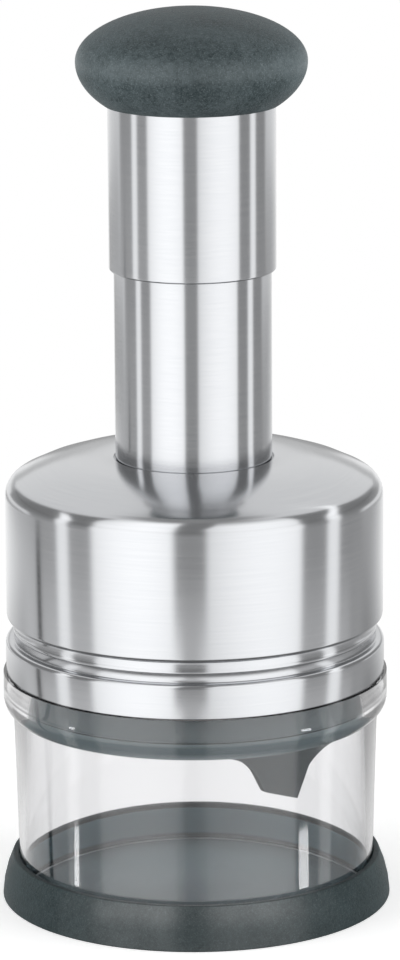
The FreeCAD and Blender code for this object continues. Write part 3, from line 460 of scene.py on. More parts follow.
def coil(name, radius, wire, low, high, turns):
    """A round wire swept up a helix round Z, with flat ends; all sizes in millimetres."""
    points, faces = [], []
    steps = turns * STEPS_A_TURN
    climb = (high - low - 2 * wire) / turns
    lean = math.atan2(climb, 2 * math.pi * radius)
    for step in range(steps + 1):
        turn = 2 * math.pi * step / STEPS_A_TURN
        out = Vector((math.cos(turn), math.sin(turn), 0.0))
        across = Vector((math.sin(turn) * math.sin(lean), -math.cos(turn) * math.sin(lean),
                         math.cos(lean)))
        centre = out * radius + Vector((0.0, 0.0, low + wire + climb * step / STEPS_A_TURN))
        for side in range(WIRE_SIDES):
            angle = 2 * math.pi * side / WIRE_SIDES
            points.append((centre + (out * math.cos(angle) + across * math.sin(angle)) * wire) * MM)
    for step in range(steps):
        for side in range(WIRE_SIDES):
            ahead = (side + 1) % WIRE_SIDES
            start, after = step * WIRE_SIDES, (step + 1) * WIRE_SIDES
            faces.append((start + side, after + side, after + ahead, start + ahead))
    faces.append(tuple(range(WIRE_SIDES)))
    faces.append(tuple(reversed(range(steps * WIRE_SIDES, (steps + 1) * WIRE_SIDES))))
    return add_mesh(name, points, faces)


coil_spring = coil("coil_spring", coil_radius, SPRING_WIRE, spring_bottom, spring_top, SPRING_TURNS)
fit(coil_spring, "return_spring", "housing")
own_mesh(coil_spring)
print("spring", round(spring_top - spring_bottom, 1), "mm long,", SPRING_TURNS, "turns")

# %% [markdown]
# ## Shader maths as sums
#
# A finish is a graph of small nodes. Writing `rough = 0.2 + 0.1 * grain` is easier to read than
# four lines of links, so one small class wraps a socket and lets it stand in a sum.

# %% Wire
def sum_of(operation, reflected=False):
    """A method that joins a wire and another value by a Math node."""
    def method(self, other):
        left, right = (other, self) if reflected else (self, other)
        return self.finish.maths(operation, left, right)
    return method


class Wire:
    """An output socket that can stand in a sum with numbers and other wires."""

    def __init__(self, finish, socket):
        self.finish = finish
        self.socket = socket

    def __neg__(self):
        return 0.0 - self

    __add__, __radd__ = sum_of("ADD"), sum_of("ADD", reflected=True)
    __sub__, __rsub__ = sum_of("SUBTRACT"), sum_of("SUBTRACT", reflected=True)
    __mul__, __rmul__ = sum_of("MULTIPLY"), sum_of("MULTIPLY", reflected=True)
    __truediv__, __rtruediv__ = sum_of("DIVIDE"), sum_of("DIVIDE", reflected=True)
    __pow__ = sum_of("POWER")


print("a wire knows", [name for name in vars(Wire) if name.startswith("__r")])

# %% [markdown]
# Everything that isn't a number sum, such as a texture or a colour mix, comes from one method that
# makes any node. The others are short names for the few nodes that nearly every finish needs.

# %% Finish
class Finish:
    """A material in the making: it makes nodes, fills their sockets and hands wires back."""

    def __init__(self, name, tree=None):
        self.material = None if tree else bpy.data.materials.new(name)
        if self.material:
            self.material.use_nodes = True
        self.tree = tree or self.material.node_tree
        self.tree.nodes.clear()

    def node(self, kind, settings=None, sockets=None, out=0):
        """Any node, from its type, its settings and the values or wires of its sockets."""
        made = self.tree.nodes.new(kind)
        for key, value in (settings or {}).items():
            if key == "stops":
                self.set_stops(made.color_ramp.elements, value)
            else:
                setattr(made, key, value)
        for key, value in (sockets or {}).items():
            if isinstance(value, Wire):
                self.tree.links.new(value.socket, made.inputs[key])
            else:
                made.inputs[key].default_value = value
        return Wire(self, made.outputs[out]) if len(made.outputs) else None

    def maths(self, operation, *values):
        """A Math node; its wire stands for the result."""
        return self.node("ShaderNodeMath", {"operation": operation}, dict(enumerate(values)))

    @staticmethod
    def set_stops(elements, stops):
        while len(elements) > len(stops):
            elements.remove(elements[-1])
        for index, (place, grey) in enumerate(stops):
            element = elements[index] if index < len(elements) else elements.new(place)
            element.position = place
            element.color = (grey, grey, grey, 1.0)

    def place(self):
        """The point on the object, in metres."""
        return self.node("ShaderNodeTexCoord", out="Object")

    def split(self, vector):
        parts = self.node("ShaderNodeSeparateXYZ", sockets={0: vector}).socket.node
        return [Wire(self, socket) for socket in parts.outputs]

    def noise(self, vector, scale, detail=2.0, roughness=0.5, distortion=0.0):
        return self.node("ShaderNodeTexNoise", sockets={
            "Vector": vector, "Scale": scale, "Detail": detail,
            "Roughness": roughness, "Distortion": distortion})

    def ramp(self, factor, *stops):
        return self.node("ShaderNodeValToRGB", {"stops": stops}, {0: factor})

    def blend(self, factor, first, second):
        """A colour between two others."""
        return self.node("ShaderNodeMix", {"data_type": "RGBA"},
                         {0: factor, 6: first, 7: second}, out=2)

    def bump(self, height, distance, strength=1.0):
        return self.node("ShaderNodeBump", sockets={
            "Height": height, "Distance": distance, "Strength": strength})

    def surface(self, **sockets):
        """Ends the finish in one Principled shader; underscores in names stand for spaces."""
        named = {key.replace("_", " "): value for key, value in sockets.items()}
        shader = self.node("ShaderNodeBsdfPrincipled", sockets=named)
        self.node("ShaderNodeOutputMaterial", sockets={"Surface": shader})
        return self.material


print("finish tools ready")

# %% [markdown]
# Wear, worn rings and the edges of lamps are all soft steps: nothing real starts at a hard line. A
# Map Range node with a smooth step makes one from any measure, and two of them make a band.

# %% Steps and tones
def smooth(f, value, low, high):
    """0 below low, 1 above high and a smooth step between them."""
    return f.node("ShaderNodeMapRange", {"interpolation_type": "SMOOTHSTEP"},
                  {"Value": value, "From Min": low, "From Max": high})


def falling(f, value, low, high):
    """1 below low, 0 above high and a smooth step between them."""
    return 1.0 - smooth(f, value, low, high)


def between(f, value, low, high, soft):
    """1 between low and high, with soft edges."""
    return smooth(f, value, low - soft, low + soft) * falling(f, value, high - soft, high + soft)


def at_most_one(f, value):
    """The value, cut off at 1."""
    return f.maths("MINIMUM", value, 1.0)


def from_axis(x, y):
    """Distance from the Z axis."""
    return (x * x + y * y) ** 0.5


def grey(red, green, blue):
    """A colour given in the 0 to 255 steps of a screen, as Blender's linear light."""
    light = [((v / 255 + 0.055) / 1.055) ** 2.4 for v in (red, green, blue)]
    return (*light, 1.0)


print("a middle grey is", round(grey(128, 128, 128)[0], 3), "in linear light")

# %% [markdown]
# ## Soft rubber
#
# The knob and the base are thermoplastic rubber, spark-eroded to a fine grain: dark green-grey and
# nearly matt, with tiny lighter specks where the grain catches light. A flat dark grey would look
# like paint. Here a noise a fraction of a millimetre fine drives colour, roughness and bump
# together, so that they agree, and a slow one gives the faint clouds that handling leaves.
#
# Hands polish rubber, too: the knob round its widest line, the base at its front. A thin coat over
# the grain gives that shine, because a coat's weight can change over the surface. On the knob that
# band is also painted lighter in colour: a painted sheen.

# %% Soft rubber
PALM_LOW, PALM_HIGH, PALM_SOFT = -1.2, 3.4, 1.9  # mm above the knob's widest line
FRONT_FROM, FRONT_TO = 0.03, 0.044  # metres in front of the axis
LIP_FROM, LIP_TO = 0.004, 0.009  # metres above the table
# The lighter tone painted into the knob's palm band: a painted sheen.
PAINTED_SHEEN_TONE = grey(118, 128, 131)
SPECK_TONE = grey(132, 144, 147)


def palm_band(f, place):
    """Round the knob's widest line and just above: palm-polished, and painted lighter as a sheen."""
    height = f.split(place)[2] / MM - knob_middle
    return between(f, height, PALM_LOW, PALM_HIGH, PALM_SOFT)


def finger_front(f, place):
    """Fingers steady the base at its front, mostly near the lip."""
    _, y, z = f.split(place)
    return smooth(f, -y, FRONT_FROM, FRONT_TO) * (0.45 + 0.55 * smooth(f, z, LIP_FROM, LIP_TO))


def soft_rubber(name, dark, light, handled_and_sheen, specks, painted_sheen, shine, coat_rough, coat_ior):
    """Grained rubber that shines more where hands rub it, and is painted lighter there as a sheen.
    """
    f = Finish(name)
    place = f.place()
    grain = f.ramp(f.noise(place, 1000.0, detail=4.0, roughness=0.75), (0.36, 0.0), (0.64, 1.0))
    cloud = f.ramp(f.noise(place, 90.0, detail=3.0, roughness=0.6), (0.35, 0.0), (0.65, 1.0))
    dots = f.ramp(f.noise(place, 3200.0, detail=1.0), (0.54, 0.0), (0.74, 1.0))
    rubbed_and_sheen = handled_and_sheen(f, place)
    body = f.blend(0.4 * cloud + 0.6 * grain, dark, light)
    # On the knob the palm band is painted lighter: a painted sheen in the colour.
    body = f.blend(painted_sheen * rubbed_and_sheen, body, PAINTED_SHEEN_TONE)
    return f.surface(
        Base_Color=f.blend(specks * dots, body, SPECK_TONE),
        Roughness=0.5 + 0.12 * (grain - 0.5) + 0.08 * (cloud - 0.5),
        Specular_IOR_Level=0.16,
        Coat_Weight=shine * rubbed_and_sheen * (0.75 + 0.25 * cloud),
        Coat_Roughness=coat_rough,
        Coat_IOR=coat_ior,
        Normal=f.bump(grain + 0.5 * dots, 0.00012, 0.7),
    )


knob_rubber = soft_rubber(
    "knob_rubber", grey(41, 52, 54), grey(88, 99, 102), palm_band,
    specks=0.4, painted_sheen=0.22, shine=0.25, coat_rough=0.3, coat_ior=1.5)
base_rubber = soft_rubber(
    "base_rubber", grey(35, 46, 48), grey(61, 72, 74), finger_front,
    specks=0.14, painted_sheen=0.0, shine=1.0, coat_rough=0.22, coat_ior=1.8)
print("rubbers:", knob_rubber.name, "and", base_rubber.name)

# %% [markdown]
# ## Glossy tray plastic
#
# The tray floor is a polished moulding, but the mould's own turning marks leave faint rings, and
# many strokes of the blade dull it a little. A noise of the distance from the axis alone gives such
# rings; mixed weakly into roughness and bump they show only in the reflections.
#
# The blade's marks are short pale pieces of the same rings. A thin pale ring along the cup's foot is
# a painted highlight line, and the floor is painted paler towards the back as painted light. Nothing
# rubs
# the low wall, so it keeps its gloss: a strong coat that covers the wall alone, which is also
# painted lighter and bluer as a painted sheen.

# %% Tray plastic
FOOT_EDGE = (foot_bore + 0.1) * MM  # where the cup's foot ends inside
# The painted highlight line along the cup's foot: how far it reaches in and out, and its softness.
HIGHLIGHT_IN, HIGHLIGHT_OUT, HIGHLIGHT_SOFT = 0.5 * MM, 0.4 * MM, 0.2 * MM
RIM_FROM, RIM_TO = (floor_height + 0.5) * MM, (floor_height + 1.5) * MM
# Painted light: over this spread the floor's colour turns paler from front to back.
BACK_SPREAD = 0.034  # metres in front of and behind the axis
FLOOR_DARK, FLOOR_PALE = grey(45, 55, 59), grey(99, 111, 115)
MARK_TONE = grey(128, 137, 140)
# Painted sheen: the low wall's lighter, bluer colour.
WALL_SHEEN_TONE = grey(132, 160, 168)
# Colour of the painted highlight line along the cup's foot.
FOOT_HIGHLIGHT_TONE = grey(186, 192, 195)


def tray_plastic():
    f = Finish("glossy_tray_plastic")
    place = f.place()
    x, y, z = f.split(place)
    radius = from_axis(x, y)
    rings = f.node("ShaderNodeTexNoise", {"noise_dimensions": "1D"},
                   {"W": radius, "Scale": 640.0, "Detail": 3.0})
    wear = f.noise(place, 90.0, detail=3.0, roughness=0.6)
    patches = f.ramp(f.noise(place, 40.0), (0.4, 0.0), (0.6, 1.0))
    marks = f.ramp(rings, (0.52, 0.0), (0.66, 1.0)) * patches
    # Painted light: the floor is made paler towards the back.
    back = smooth(f, y, -BACK_SPREAD, BACK_SPREAD)
    wall = smooth(f, z, RIM_FROM, RIM_TO)
    # Painted highlight: a thin pale line along the cup's foot edge.
    foot_highlight = between(f, radius, FOOT_EDGE - HIGHLIGHT_IN, FOOT_EDGE + HIGHLIGHT_OUT, HIGHLIGHT_SOFT)
    tone = f.blend(0.25 * wear + 0.75 * back, FLOOR_DARK, FLOOR_PALE)
    tone = f.blend(0.22 * marks, tone, MARK_TONE)
    # Painted sheen: the wall above the rim gets the lighter tone.
    tone = f.blend(wall, tone, WALL_SHEEN_TONE)
    return f.surface(
        Base_Color=f.blend(0.85 * foot_highlight, tone, FOOT_HIGHLIGHT_TONE),
        Roughness=0.12 + 0.12 * rings + 0.06 * wear,
        Specular_IOR_Level=0.03,
        Coat_Weight=wall,
        Coat_Roughness=0.12,
        Coat_IOR=1.8,
        Normal=f.bump(rings, 0.00002, 0.3),
    )


tray_finish = tray_plastic()
# The ring printed here is the painted highlight line along the cup's foot.
print("worn ring at", round(FOOT_EDGE / MM, 2), "mm from the axis")

# %% [markdown]
# ## Clear plastic
#
# A clear styrene cup bends light like glass, a little more strongly. Perfect glass looks computed:
# a real cup has flow lines from the mould and fine wipe marks, so a slow noise ripples its surface
# by a hair and a fine one varies its polish.

# %% Clear plastic
CLEAR_IOR = 1.57
FLOW_STRETCH = 0.12  # the flow lines run up the wall, so they change slowly with height


def clear_plastic():
    f = Finish("clear_plastic_wall")
    place = f.place()
    x, y, z = f.split(place)
    upright = f.node("ShaderNodeCombineXYZ", sockets={0: x, 1: y, 2: z * FLOW_STRETCH})
    ripple = f.noise(upright, 110.0, detail=1.0)
    wipes = f.noise(place, 700.0, detail=3.0, roughness=0.65)
    return f.surface(
        Base_Color=grey(248, 248, 249),
        Roughness=0.01 + 0.03 * wipes,
        IOR=CLEAR_IOR,
        Transmission_Weight=1.0,
        Normal=f.bump(ripple, 0.00003, 0.3),
    )


clear = clear_plastic()
print("clear plastic bends light with index", CLEAR_IOR)

# %% [markdown]
# ## Brushed stainless steel
#
# The steel is brushed round the axis while it spins, which draws fine rings on the drum and smears
# every reflection along the axis: lamps become upright stripes. The smear is anisotropy, turned a
# quarter so that it lies across the rings. The rings are a noise that changes fast along the
# outline and slowly round it; height minus radius grows steadily down the dome and the drum alike.

# %% Brushed steel
ROUND_CHANGE = 2.2  # how fast the rings change on their way round
SMEAR = 0.7  # anisotropy
QUARTER_TURN = 0.25


def brushed_steel(name, fineness):
    f = Finish(name)
    x, y, z = f.split(f.place())
    radius = from_axis(x, y)
    ring_place = f.node("ShaderNodeCombineXYZ", sockets={
        0: x / radius * ROUND_CHANGE, 1: y / radius * ROUND_CHANGE, 2: (z - radius) * fineness})
    rings = f.noise(ring_place, 1.0, detail=3.0, roughness=0.6)
    pits = f.noise(f.place(), 1500.0, detail=2.0)
    return f.surface(
        Base_Color=f.blend(rings, grey(193, 195, 198), grey(205, 206, 208)),
        Metallic=1.0,
        Roughness=0.12 + 0.08 * rings,
        Anisotropic=SMEAR,
        Anisotropic_Rotation=QUARTER_TURN,
        Normal=f.bump(rings + 0.6 * pits, 0.000004, 0.4),
    )


drum_steel = brushed_steel("brushed_drum_steel", 2600.0)
tube_steel = brushed_steel("brushed_tube_steel", 2200.0)
print("brushed steels:", drum_steel.name, "and", tube_steel.name)

# %% [markdown]
# ## Moulded plastics and worked steel inside
#
# The frame, the wiper and the knob core are satin dark plastic, and the sliding and toothed parts
# are a milky low-friction plastic. One function makes the plastics, with the fine grain of the
# mould and the slow flow lines of the melt.

# %% Moulded plastics
GRAIN_DEPTH = 0.00002  # metres
SATIN = 0.3  # roughness


def melt(f, place):
    """Grain, the same grain with more contrast, and a mixture of it with the melt's flow lines."""
    grain = f.noise(place, 2200.0, detail=2.0)
    sharp = f.ramp(grain, (0.3, 0.0), (0.7, 1.0))
    flow = f.noise(place, 45.0, detail=2.0, distortion=0.6)
    return grain, sharp, 0.4 * flow + 0.6 * sharp


def moulded_plastic(name, dark, light, gloss):
    """Satin plastic between two tones."""
    f = Finish(name)
    grain, _, mottle = melt(f, f.place())
    return f.surface(
        Base_Color=f.blend(mottle, dark, light),
        Roughness=SATIN + 0.12 * grain,
        Specular_IOR_Level=gloss,
        Normal=f.bump(grain, GRAIN_DEPTH, 0.4),
    )


satin_dark = moulded_plastic("satin_dark_plastic", grey(40, 51, 54), grey(64, 75, 78), 0.25)
milky = moulded_plastic("milky_slide_plastic", grey(214, 214, 212), grey(228, 228, 227), 0.5)
print("plastics:", satin_dark.name, "and", milky.name)

# %% [markdown]
# The wiper shows most, through the cup's wall, so it gets a finish of its own. Its skirt runs along
# the cup; outside it is painted lighter, with a pale painted reflection towards the bottom, and the
# tab below it is painted darker as shade. Height and distance from the axis tell these places apart.

# %% Wiper plastic
SKIRT_BOTTOM = 45.9  # mm; the skirt ends here and the tab starts
SKIRT_TOP = 50.0
SKIRT_RADIUS = reach("wiper_plate")[0]
SKIRT_SKIN = (SKIRT_RADIUS - 0.4, SKIRT_RADIUS - 0.2)
# Heights over which the painted reflection low on the skirt fades out upwards.
SKIRT_REFLECTION_FADE = (SKIRT_BOTTOM + 1.1, SKIRT_TOP - 1.3)
# Heights where the tab's painted shade begins.
TAB_ROOT = (SKIRT_BOTTOM - 0.2, SKIRT_BOTTOM)


def wiper_plastic(name):
    """Satin plastic, its skirt painted lighter with a low painted reflection, its tab painted shade.
    """
    f = Finish(name)
    place = f.place()
    x, y, z = f.split(place)
    height = z / MM
    outside = smooth(f, from_axis(x, y) / MM, *SKIRT_SKIN)
    lit_skirt_band = outside * between(f, height, SKIRT_BOTTOM, SKIRT_TOP, 0.1)
    _, grain, mottle = melt(f, place)
    body = f.blend(mottle, grey(42, 52, 55), grey(62, 72, 75))
    # Painted light: the skirt's outside is made lighter.
    body = f.blend(lit_skirt_band, body, grey(74, 85, 88))
    # Painted reflection: the skirt's outside turns pale towards the bottom.
    body = f.blend(outside * falling(f, height, *SKIRT_REFLECTION_FADE), body, grey(170, 176, 178))
    return f.surface(
        # Painted shade: the tab below the skirt is made dark.
        Base_Color=f.blend(falling(f, height, *TAB_ROOT), body, grey(24, 35, 38)),
        Roughness=SATIN + 0.12 * grain,
        Specular_IOR_Level=0.1,
        Normal=f.bump(grain, GRAIN_DEPTH, 0.4),
    )


wiper_dark = wiper_plastic("wiper_dark_plastic")
print("wiper skirt from", SKIRT_BOTTOM, "to", SKIRT_TOP, "mm")

# %% [markdown]
# The rod, nuts, spring and blade are turned, drawn or ground steel. Each process leaves its marks
# in one direction, so one function stretches a noise along them, at the scale of the process.

# %% Worked steels
def worked_steel(name, tone, rough, stretch, fineness):
    """Turned, drawn or ground steel; stretch is how much the marks shrink along X, Y and Z."""
    f = Finish(name)
    marks_place = f.node("ShaderNodeMapping", sockets={"Vector": f.place(), "Scale": stretch})
    marks = f.noise(marks_place, fineness, detail=3.0, roughness=0.6)
    return f.surface(
        Base_Color=f.blend(marks, tone, grey(222, 223, 225)),
        Metallic=1.0,
        Roughness=rough + 0.12 * marks,
        Normal=f.bump(marks, 0.000006, 0.5),
    )


turned_steel = worked_steel("turned_steel", grey(186, 187, 189),
                            rough=0.16, stretch=(0.05, 0.05, 1.0), fineness=5200.0)
drawn_wire = worked_steel("drawn_spring_wire", grey(160, 162, 165),
                          rough=0.2, stretch=(1.0, 1.0, 1.0), fineness=2600.0)
ground_steel = worked_steel("ground_blade_steel", grey(190, 192, 195),
                            rough=0.14, stretch=(1.0, 1.0, 0.06), fineness=4200.0)
print("steels:", turned_steel.name + ",", drawn_wire.name, "and", ground_steel.name)

# %% [markdown]
# ## Each part gets its finish
#
# The record names a material slot for every part. One table from slot to finish dresses the new
# pieces and the frame's own parts alike, so nothing is left in a plain colour. Only the base and
# the wiper have finishes of their own.

# %% Dress everything
finish_of = {
    "soft_grip": knob_rubber,
    "tray_plastic": tray_finish,
    "clear_plastic": clear,
    "brushed_shell": drum_steel,
    "brushed_tube": tube_steel,
    "dark_plastic": satin_dark,
    "slide_plastic": milky,
    "plain_steel": turned_steel,
    "spring_steel": drawn_wire,
    "blade_steel": ground_steel,
}


def dress(piece, finish):
    """The piece gets one finish all over."""
    piece.data.materials.clear()
    piece.data.materials.append(finish)


new_pieces = {
    "soft_grip": [base_skirt, palm_knob],
    "tray_plastic": [base_floor],
    "clear_plastic": [clear_cup],
    "brushed_shell": [steel_housing],
    "brushed_tube": [steel_tube, steel_sleeve],
    "spring_steel": [coil_spring],
}
for slot, pieces in new_pieces.items():
    for piece in pieces:
        dress(piece, finish_of[slot])
dress(base_skirt, base_rubber)
for part in frame["record"]["subparts"]:
    for holder in nodes[part["node"]].material_slots:
        holder.material = finish_of[part["material_slot"]]
nodes["wiper_plate"].material_slots[0].material = wiper_dark
print("dressed", len(nodes), "frame parts and", sum(map(len, new_pieces.values())), "new pieces")

# %% [markdown]
# ## The table
#
# The chopper stands on a round white table. Its matt surface takes the soft shadow, and a little
# glow that only the eye sees lifts it to paper white, where a stronger lamp would burn out the
# steel. Towards the rim it fades into the white backdrop, so no edge shows.

# %% Table
TABLE_RADIUS = 0.21
TABLE_FADE = 0.12  # radius where the table starts to fade
TABLE_GLOW = 0.48


def light_path(f, name):
    """One of the facts that a ray knows about its own path."""
    return Wire(f, f.node("ShaderNodeLightPath").socket.node.outputs[name])


def hide(piece, *rays):
    """Rays of these kinds pass the piece by."""
    for ray in rays:
        setattr(piece, "visible_" + ray, False)


def seen(f):
    """1 for the rays that look at the background: straight, by gloss or through something clear."""
    rays = light_path(f, "Is Camera Ray") + light_path(f, "Is Glossy Ray")
    return at_most_one(f, rays + light_path(f, "Is Transmission Ray"))


def table_finish():
    f = Finish("white_table")
    x, y, _ = f.split(f.place())
    fade = smooth(f, from_axis(x, y), TABLE_FADE, TABLE_RADIUS)
    fibre = f.noise(f.place(), 900.0, detail=2.0)
    paper = f.node("ShaderNodeBsdfPrincipled", sockets={
        "Base Color": f.blend(fibre, grey(243, 243, 243), grey(247, 247, 247)),
        "Roughness": 0.9,
        "Specular IOR Level": 0.0,
        "Emission Color": light_path(f, "Is Camera Ray"),
        "Emission Strength": TABLE_GLOW,
    })
    nothing = f.node("ShaderNodeBsdfTransparent")
    mixed = f.node("ShaderNodeMixShader", sockets={0: fade, 1: paper, 2: nothing})
    f.node("ShaderNodeOutputMaterial", sockets={"Surface": mixed})
    return f.material


steps_round = [2 * math.pi * step / AROUND for step in range(AROUND)]
table_rim = [(TABLE_RADIUS * math.cos(turn), TABLE_RADIUS * math.sin(turn), 0.0)
             for turn in steps_round]
table = add_mesh("table", table_rim, [list(range(AROUND))])
dress(table, table_finish())
hide(table, "glossy", "transmission")
print("table", 2 * TABLE_RADIUS, "m across")

# %% [markdown]
# ## The lamps
#
# Two tall softboxes stand left and right of the viewer. They shape the matt rubber and the
# plastics. Polished steel would show them as hard white rectangles, so they are hidden from gloss:
# what the steel mirrors is the tent of the next step.

# %% Lamps
LAMP_DISTANCE = 1.2
LAMP_WIDTH = 1.2
LAMP_LOW, LAMP_HIGH = -0.4, 0.9
LAMP_RADIANCE = 2.5
WATTS = 4  # per square metre of an area lamp, for a radiance of 1


def round_the_object(azimuth, distance, height):
    """A place in the studio; azimuth 0 is the front and grows towards the viewer's right."""
    turn = math.radians(azimuth)
    return Vector((distance * math.sin(turn), -distance * math.cos(turn), height))


def softbox(name, place, target, size, radiance):
    """A lamp that faces a target point, with a given brightness over its whole face."""
    lamp = bpy.data.lights.new(name, "AREA")
    lamp.shape = "RECTANGLE"
    lamp.size, lamp.size_y = size
    lamp.energy = radiance * WATTS * size[0] * size[1]
    made = bpy.data.objects.new(name, lamp)
    made.location = place
    made.rotation_euler = (target - place).to_track_quat("-Z", "Y").to_euler()
    hide(made, "camera", "glossy", "transmission")
    scene.collection.objects.link(made)
    print(name, [round(v, 2) for v in size], "m")
    return made


lamp_middle = (LAMP_LOW + LAMP_HIGH) / 2
tall = (LAMP_WIDTH, LAMP_HIGH - LAMP_LOW)
aim = Vector((0.0, 0.0, lamp_middle))
for name, azimuth in ("left_softbox", -72), ("right_softbox", 75):
    softbox(name, round_the_object(azimuth, LAMP_DISTANCE, lamp_middle), aim, tall, LAMP_RADIANCE)

# %% [markdown]
# ## The tent that the steel mirrors
#
# Polished metal has no colour of its own: it shows the room. Round steel turns the room into
# upright stripes, so the room is drawn here on a large tent round the object, which only
# reflections show. Lamp cards would do for a few stripes, but their edges are hard. On the tent
# each lamp is a soft-edged patch between two azimuths, painted over dark side walls, a light
# ground and a white back wall.

# %% Tent tools
TENT_RADIUS = 1.5
TENT_MIDDLE = 0.1
TENT_AROUND, TENT_UP = 96, 48  # facets


def above(f, value, limit):
    """How far a value is above a limit, and 0 below it."""
    return f.maths("MAXIMUM", value - limit, 0.0)


def paint(under, mask, level):
    """A new brightness laid over what is there, where the mask says so."""
    return (level - under) * mask + under


def directions(f):
    """Azimuth from the front towards the viewer's right, and elevation, in degrees."""
    x, y, z = f.split(f.place())
    turn = f.maths("ARCTAN2", x, -y)
    rise = f.maths("ARCTAN2", z, from_axis(x, y))
    return turn * math.degrees(1), rise * math.degrees(1)


print("tent tools ready, one radian is", round(math.degrees(1), 2), "degrees")

# %% [markdown]
# The walls come first. Dark walls stand at the sides and rise towards the front, where they reach
# the roof. The ground is lighter, and so is the low part behind the object. One narrow dark card
# stands low on the left and draws a dark line down the drum. Each pair of numbers says over which
# degrees a tone changes: azimuth 0 is the front and 180 the back, elevation 0 is level.

# %% Tent walls
FLANK = (40.0, 60.0)  # azimuths where the front ends and the flanks begin
FRONT = (10.0, 40.0)
WALL_END = (146.0, 158.0)  # azimuths where the side walls end
WALL_TOP, WALL_BACK = 17.0, 150.0  # how high the walls are at the back, and where that is
WALL_RISE = 0.6  # how much higher they get per degree forward
WALL_FOOT = (-12.0, 12.0)  # elevations where the walls get darker upwards
ROOF = (11.0, 13.0)
GROUND = (-13.2, -11.4)
DEEP = (-17.5, -13.2)
FOLD = (-13.4, -11.4, 0.7)  # the dark fold where wall and ground meet: from, to, softness
PORCH = (-9.0, -1.0, 1.5)  # a light opening low in the rear half
BACK_HEIGHT = (2.0, 8.0)  # elevations where the white rear ends
DARK_CARD = (-110.5, -106.5, 1.0)
BACK_CARD = (171.0, 174.0)
CEILING = (60.0, 78.0)


def walls(f, azimuth, elevation):
    """The painted room without its lamps."""
    side = f.maths("ABSOLUTE", azimuth)
    low = falling(f, elevation, *WALL_FOOT)
    near_ground = falling(f, elevation, *GROUND)
    front = smooth(f, side, *FRONT)
    level = 0.62 + 0.32 * smooth(f, elevation, *ROOF)

    wall_top = WALL_TOP + (WALL_BACK - side) * WALL_RISE
    wall = falling(f, elevation - wall_top, -3.0, 3.0) * falling(f, side, *WALL_END)
    left = 0.1 * smooth(f, -azimuth, *FLANK) * falling(f, elevation, -8.5, -6.5)
    right = 0.05 * smooth(f, azimuth, *FLANK) * smooth(f, elevation, -12.0, -9.0)
    tone = 0.27 + low * (0.17 + left - right) + 0.1 * smooth(f, side, 122.0, 150.0)
    tone = tone + falling(f, elevation, *DEEP) * (0.29 - 0.11 * front)
    tone = tone * (1.0 - between(f, elevation, *FOLD) * (0.85 - 0.6 * front))
    level = paint(level, wall, tone)

    porch = between(f, elevation, *PORCH) * smooth(f, side - 0.012 * azimuth, 113.0, 123.0)
    level = paint(level, porch, 1.0)
    rear = smooth(f, -azimuth, 146.0, 152.0) + smooth(f, azimuth, 157.0, 164.0)
    level = paint(level, rear * falling(f, elevation, *BACK_HEIGHT), 1.0)
    skirting = falling(f, elevation, -8.2, -7.2) * between(f, side, 122.0, 164.0, 4.0)
    level = paint(level, skirting, 0.5 + 0.3 * smooth(f, azimuth, 132.0, 165.0))

    left_tone = 0.72 + 0.36 * smooth(f, -azimuth, 112.0, 155.0)
    right_tone = 0.46 + 0.5 * smooth(f, azimuth, 122.0, 165.0)
    level = paint(level, near_ground * smooth(f, -azimuth, 110.0, 113.0), left_tone)
    level = paint(level, near_ground * smooth(f, azimuth, 105.0, 112.0), right_tone)
    level = paint(level, near_ground * between(f, azimuth, *DARK_CARD), 0.02)
    level = paint(level, smooth(f, side, *BACK_CARD) * falling(f, elevation, *BACK_HEIGHT), 0.4)
    under = falling(f, elevation, -18.0, -14.8) * smooth(f, side, 118.0, 132.0)
    level = level * (1.0 - 0.34 * under)
    return paint(level, smooth(f, elevation, *CEILING), 0.36)


print("dark card", DARK_CARD[1] - DARK_CARD[0], "degrees wide")

# %% [markdown]
# Then the lamps. The left softbox is the brightest and the highest. Both boxes are brighter in
# their middle, and wider low down. A narrow strip stands beyond each softbox and leans back, so
# that it curves away on the tent. A thin dark seam goes round at one height and draws the fine
# line along the housing's shoulder. The floor under it all is dark, so that the knob's underside
# and the housing's groove keep their depth.

# %% Tent lamps
LEFT_BOX = (-64.0, -12.2, 2.6)  # azimuths of both edges, and their softness
RIGHT_BOX = (7.0, 67.3, 2.4)
LEFT_STRIP = (-90.5, -81.0, 2.2)
RIGHT_STRIP = (86.5, 97.0, 2.4)
LEFT_BOX_TOP, RIGHT_BOX_TOP = (58.0, 76.0), (38.0, 76.0)  # elevations
LEFT_STRIP_TOP, RIGHT_STRIP_TOP = (30.0, 44.0), (42.0, 56.0)
BOX_FOOT = (-21.0, -17.5)
BOX_WIDENS = 5.0  # degrees, below its foot
SEAM = (12.6, 14.2, 0.6)
FLOOR = (-38.0, -26.0)


def bulge(azimuth, centre, half, depth):
    """How much darker a lamp is away from its centre."""
    off = (azimuth - centre) / half
    return depth * off * off


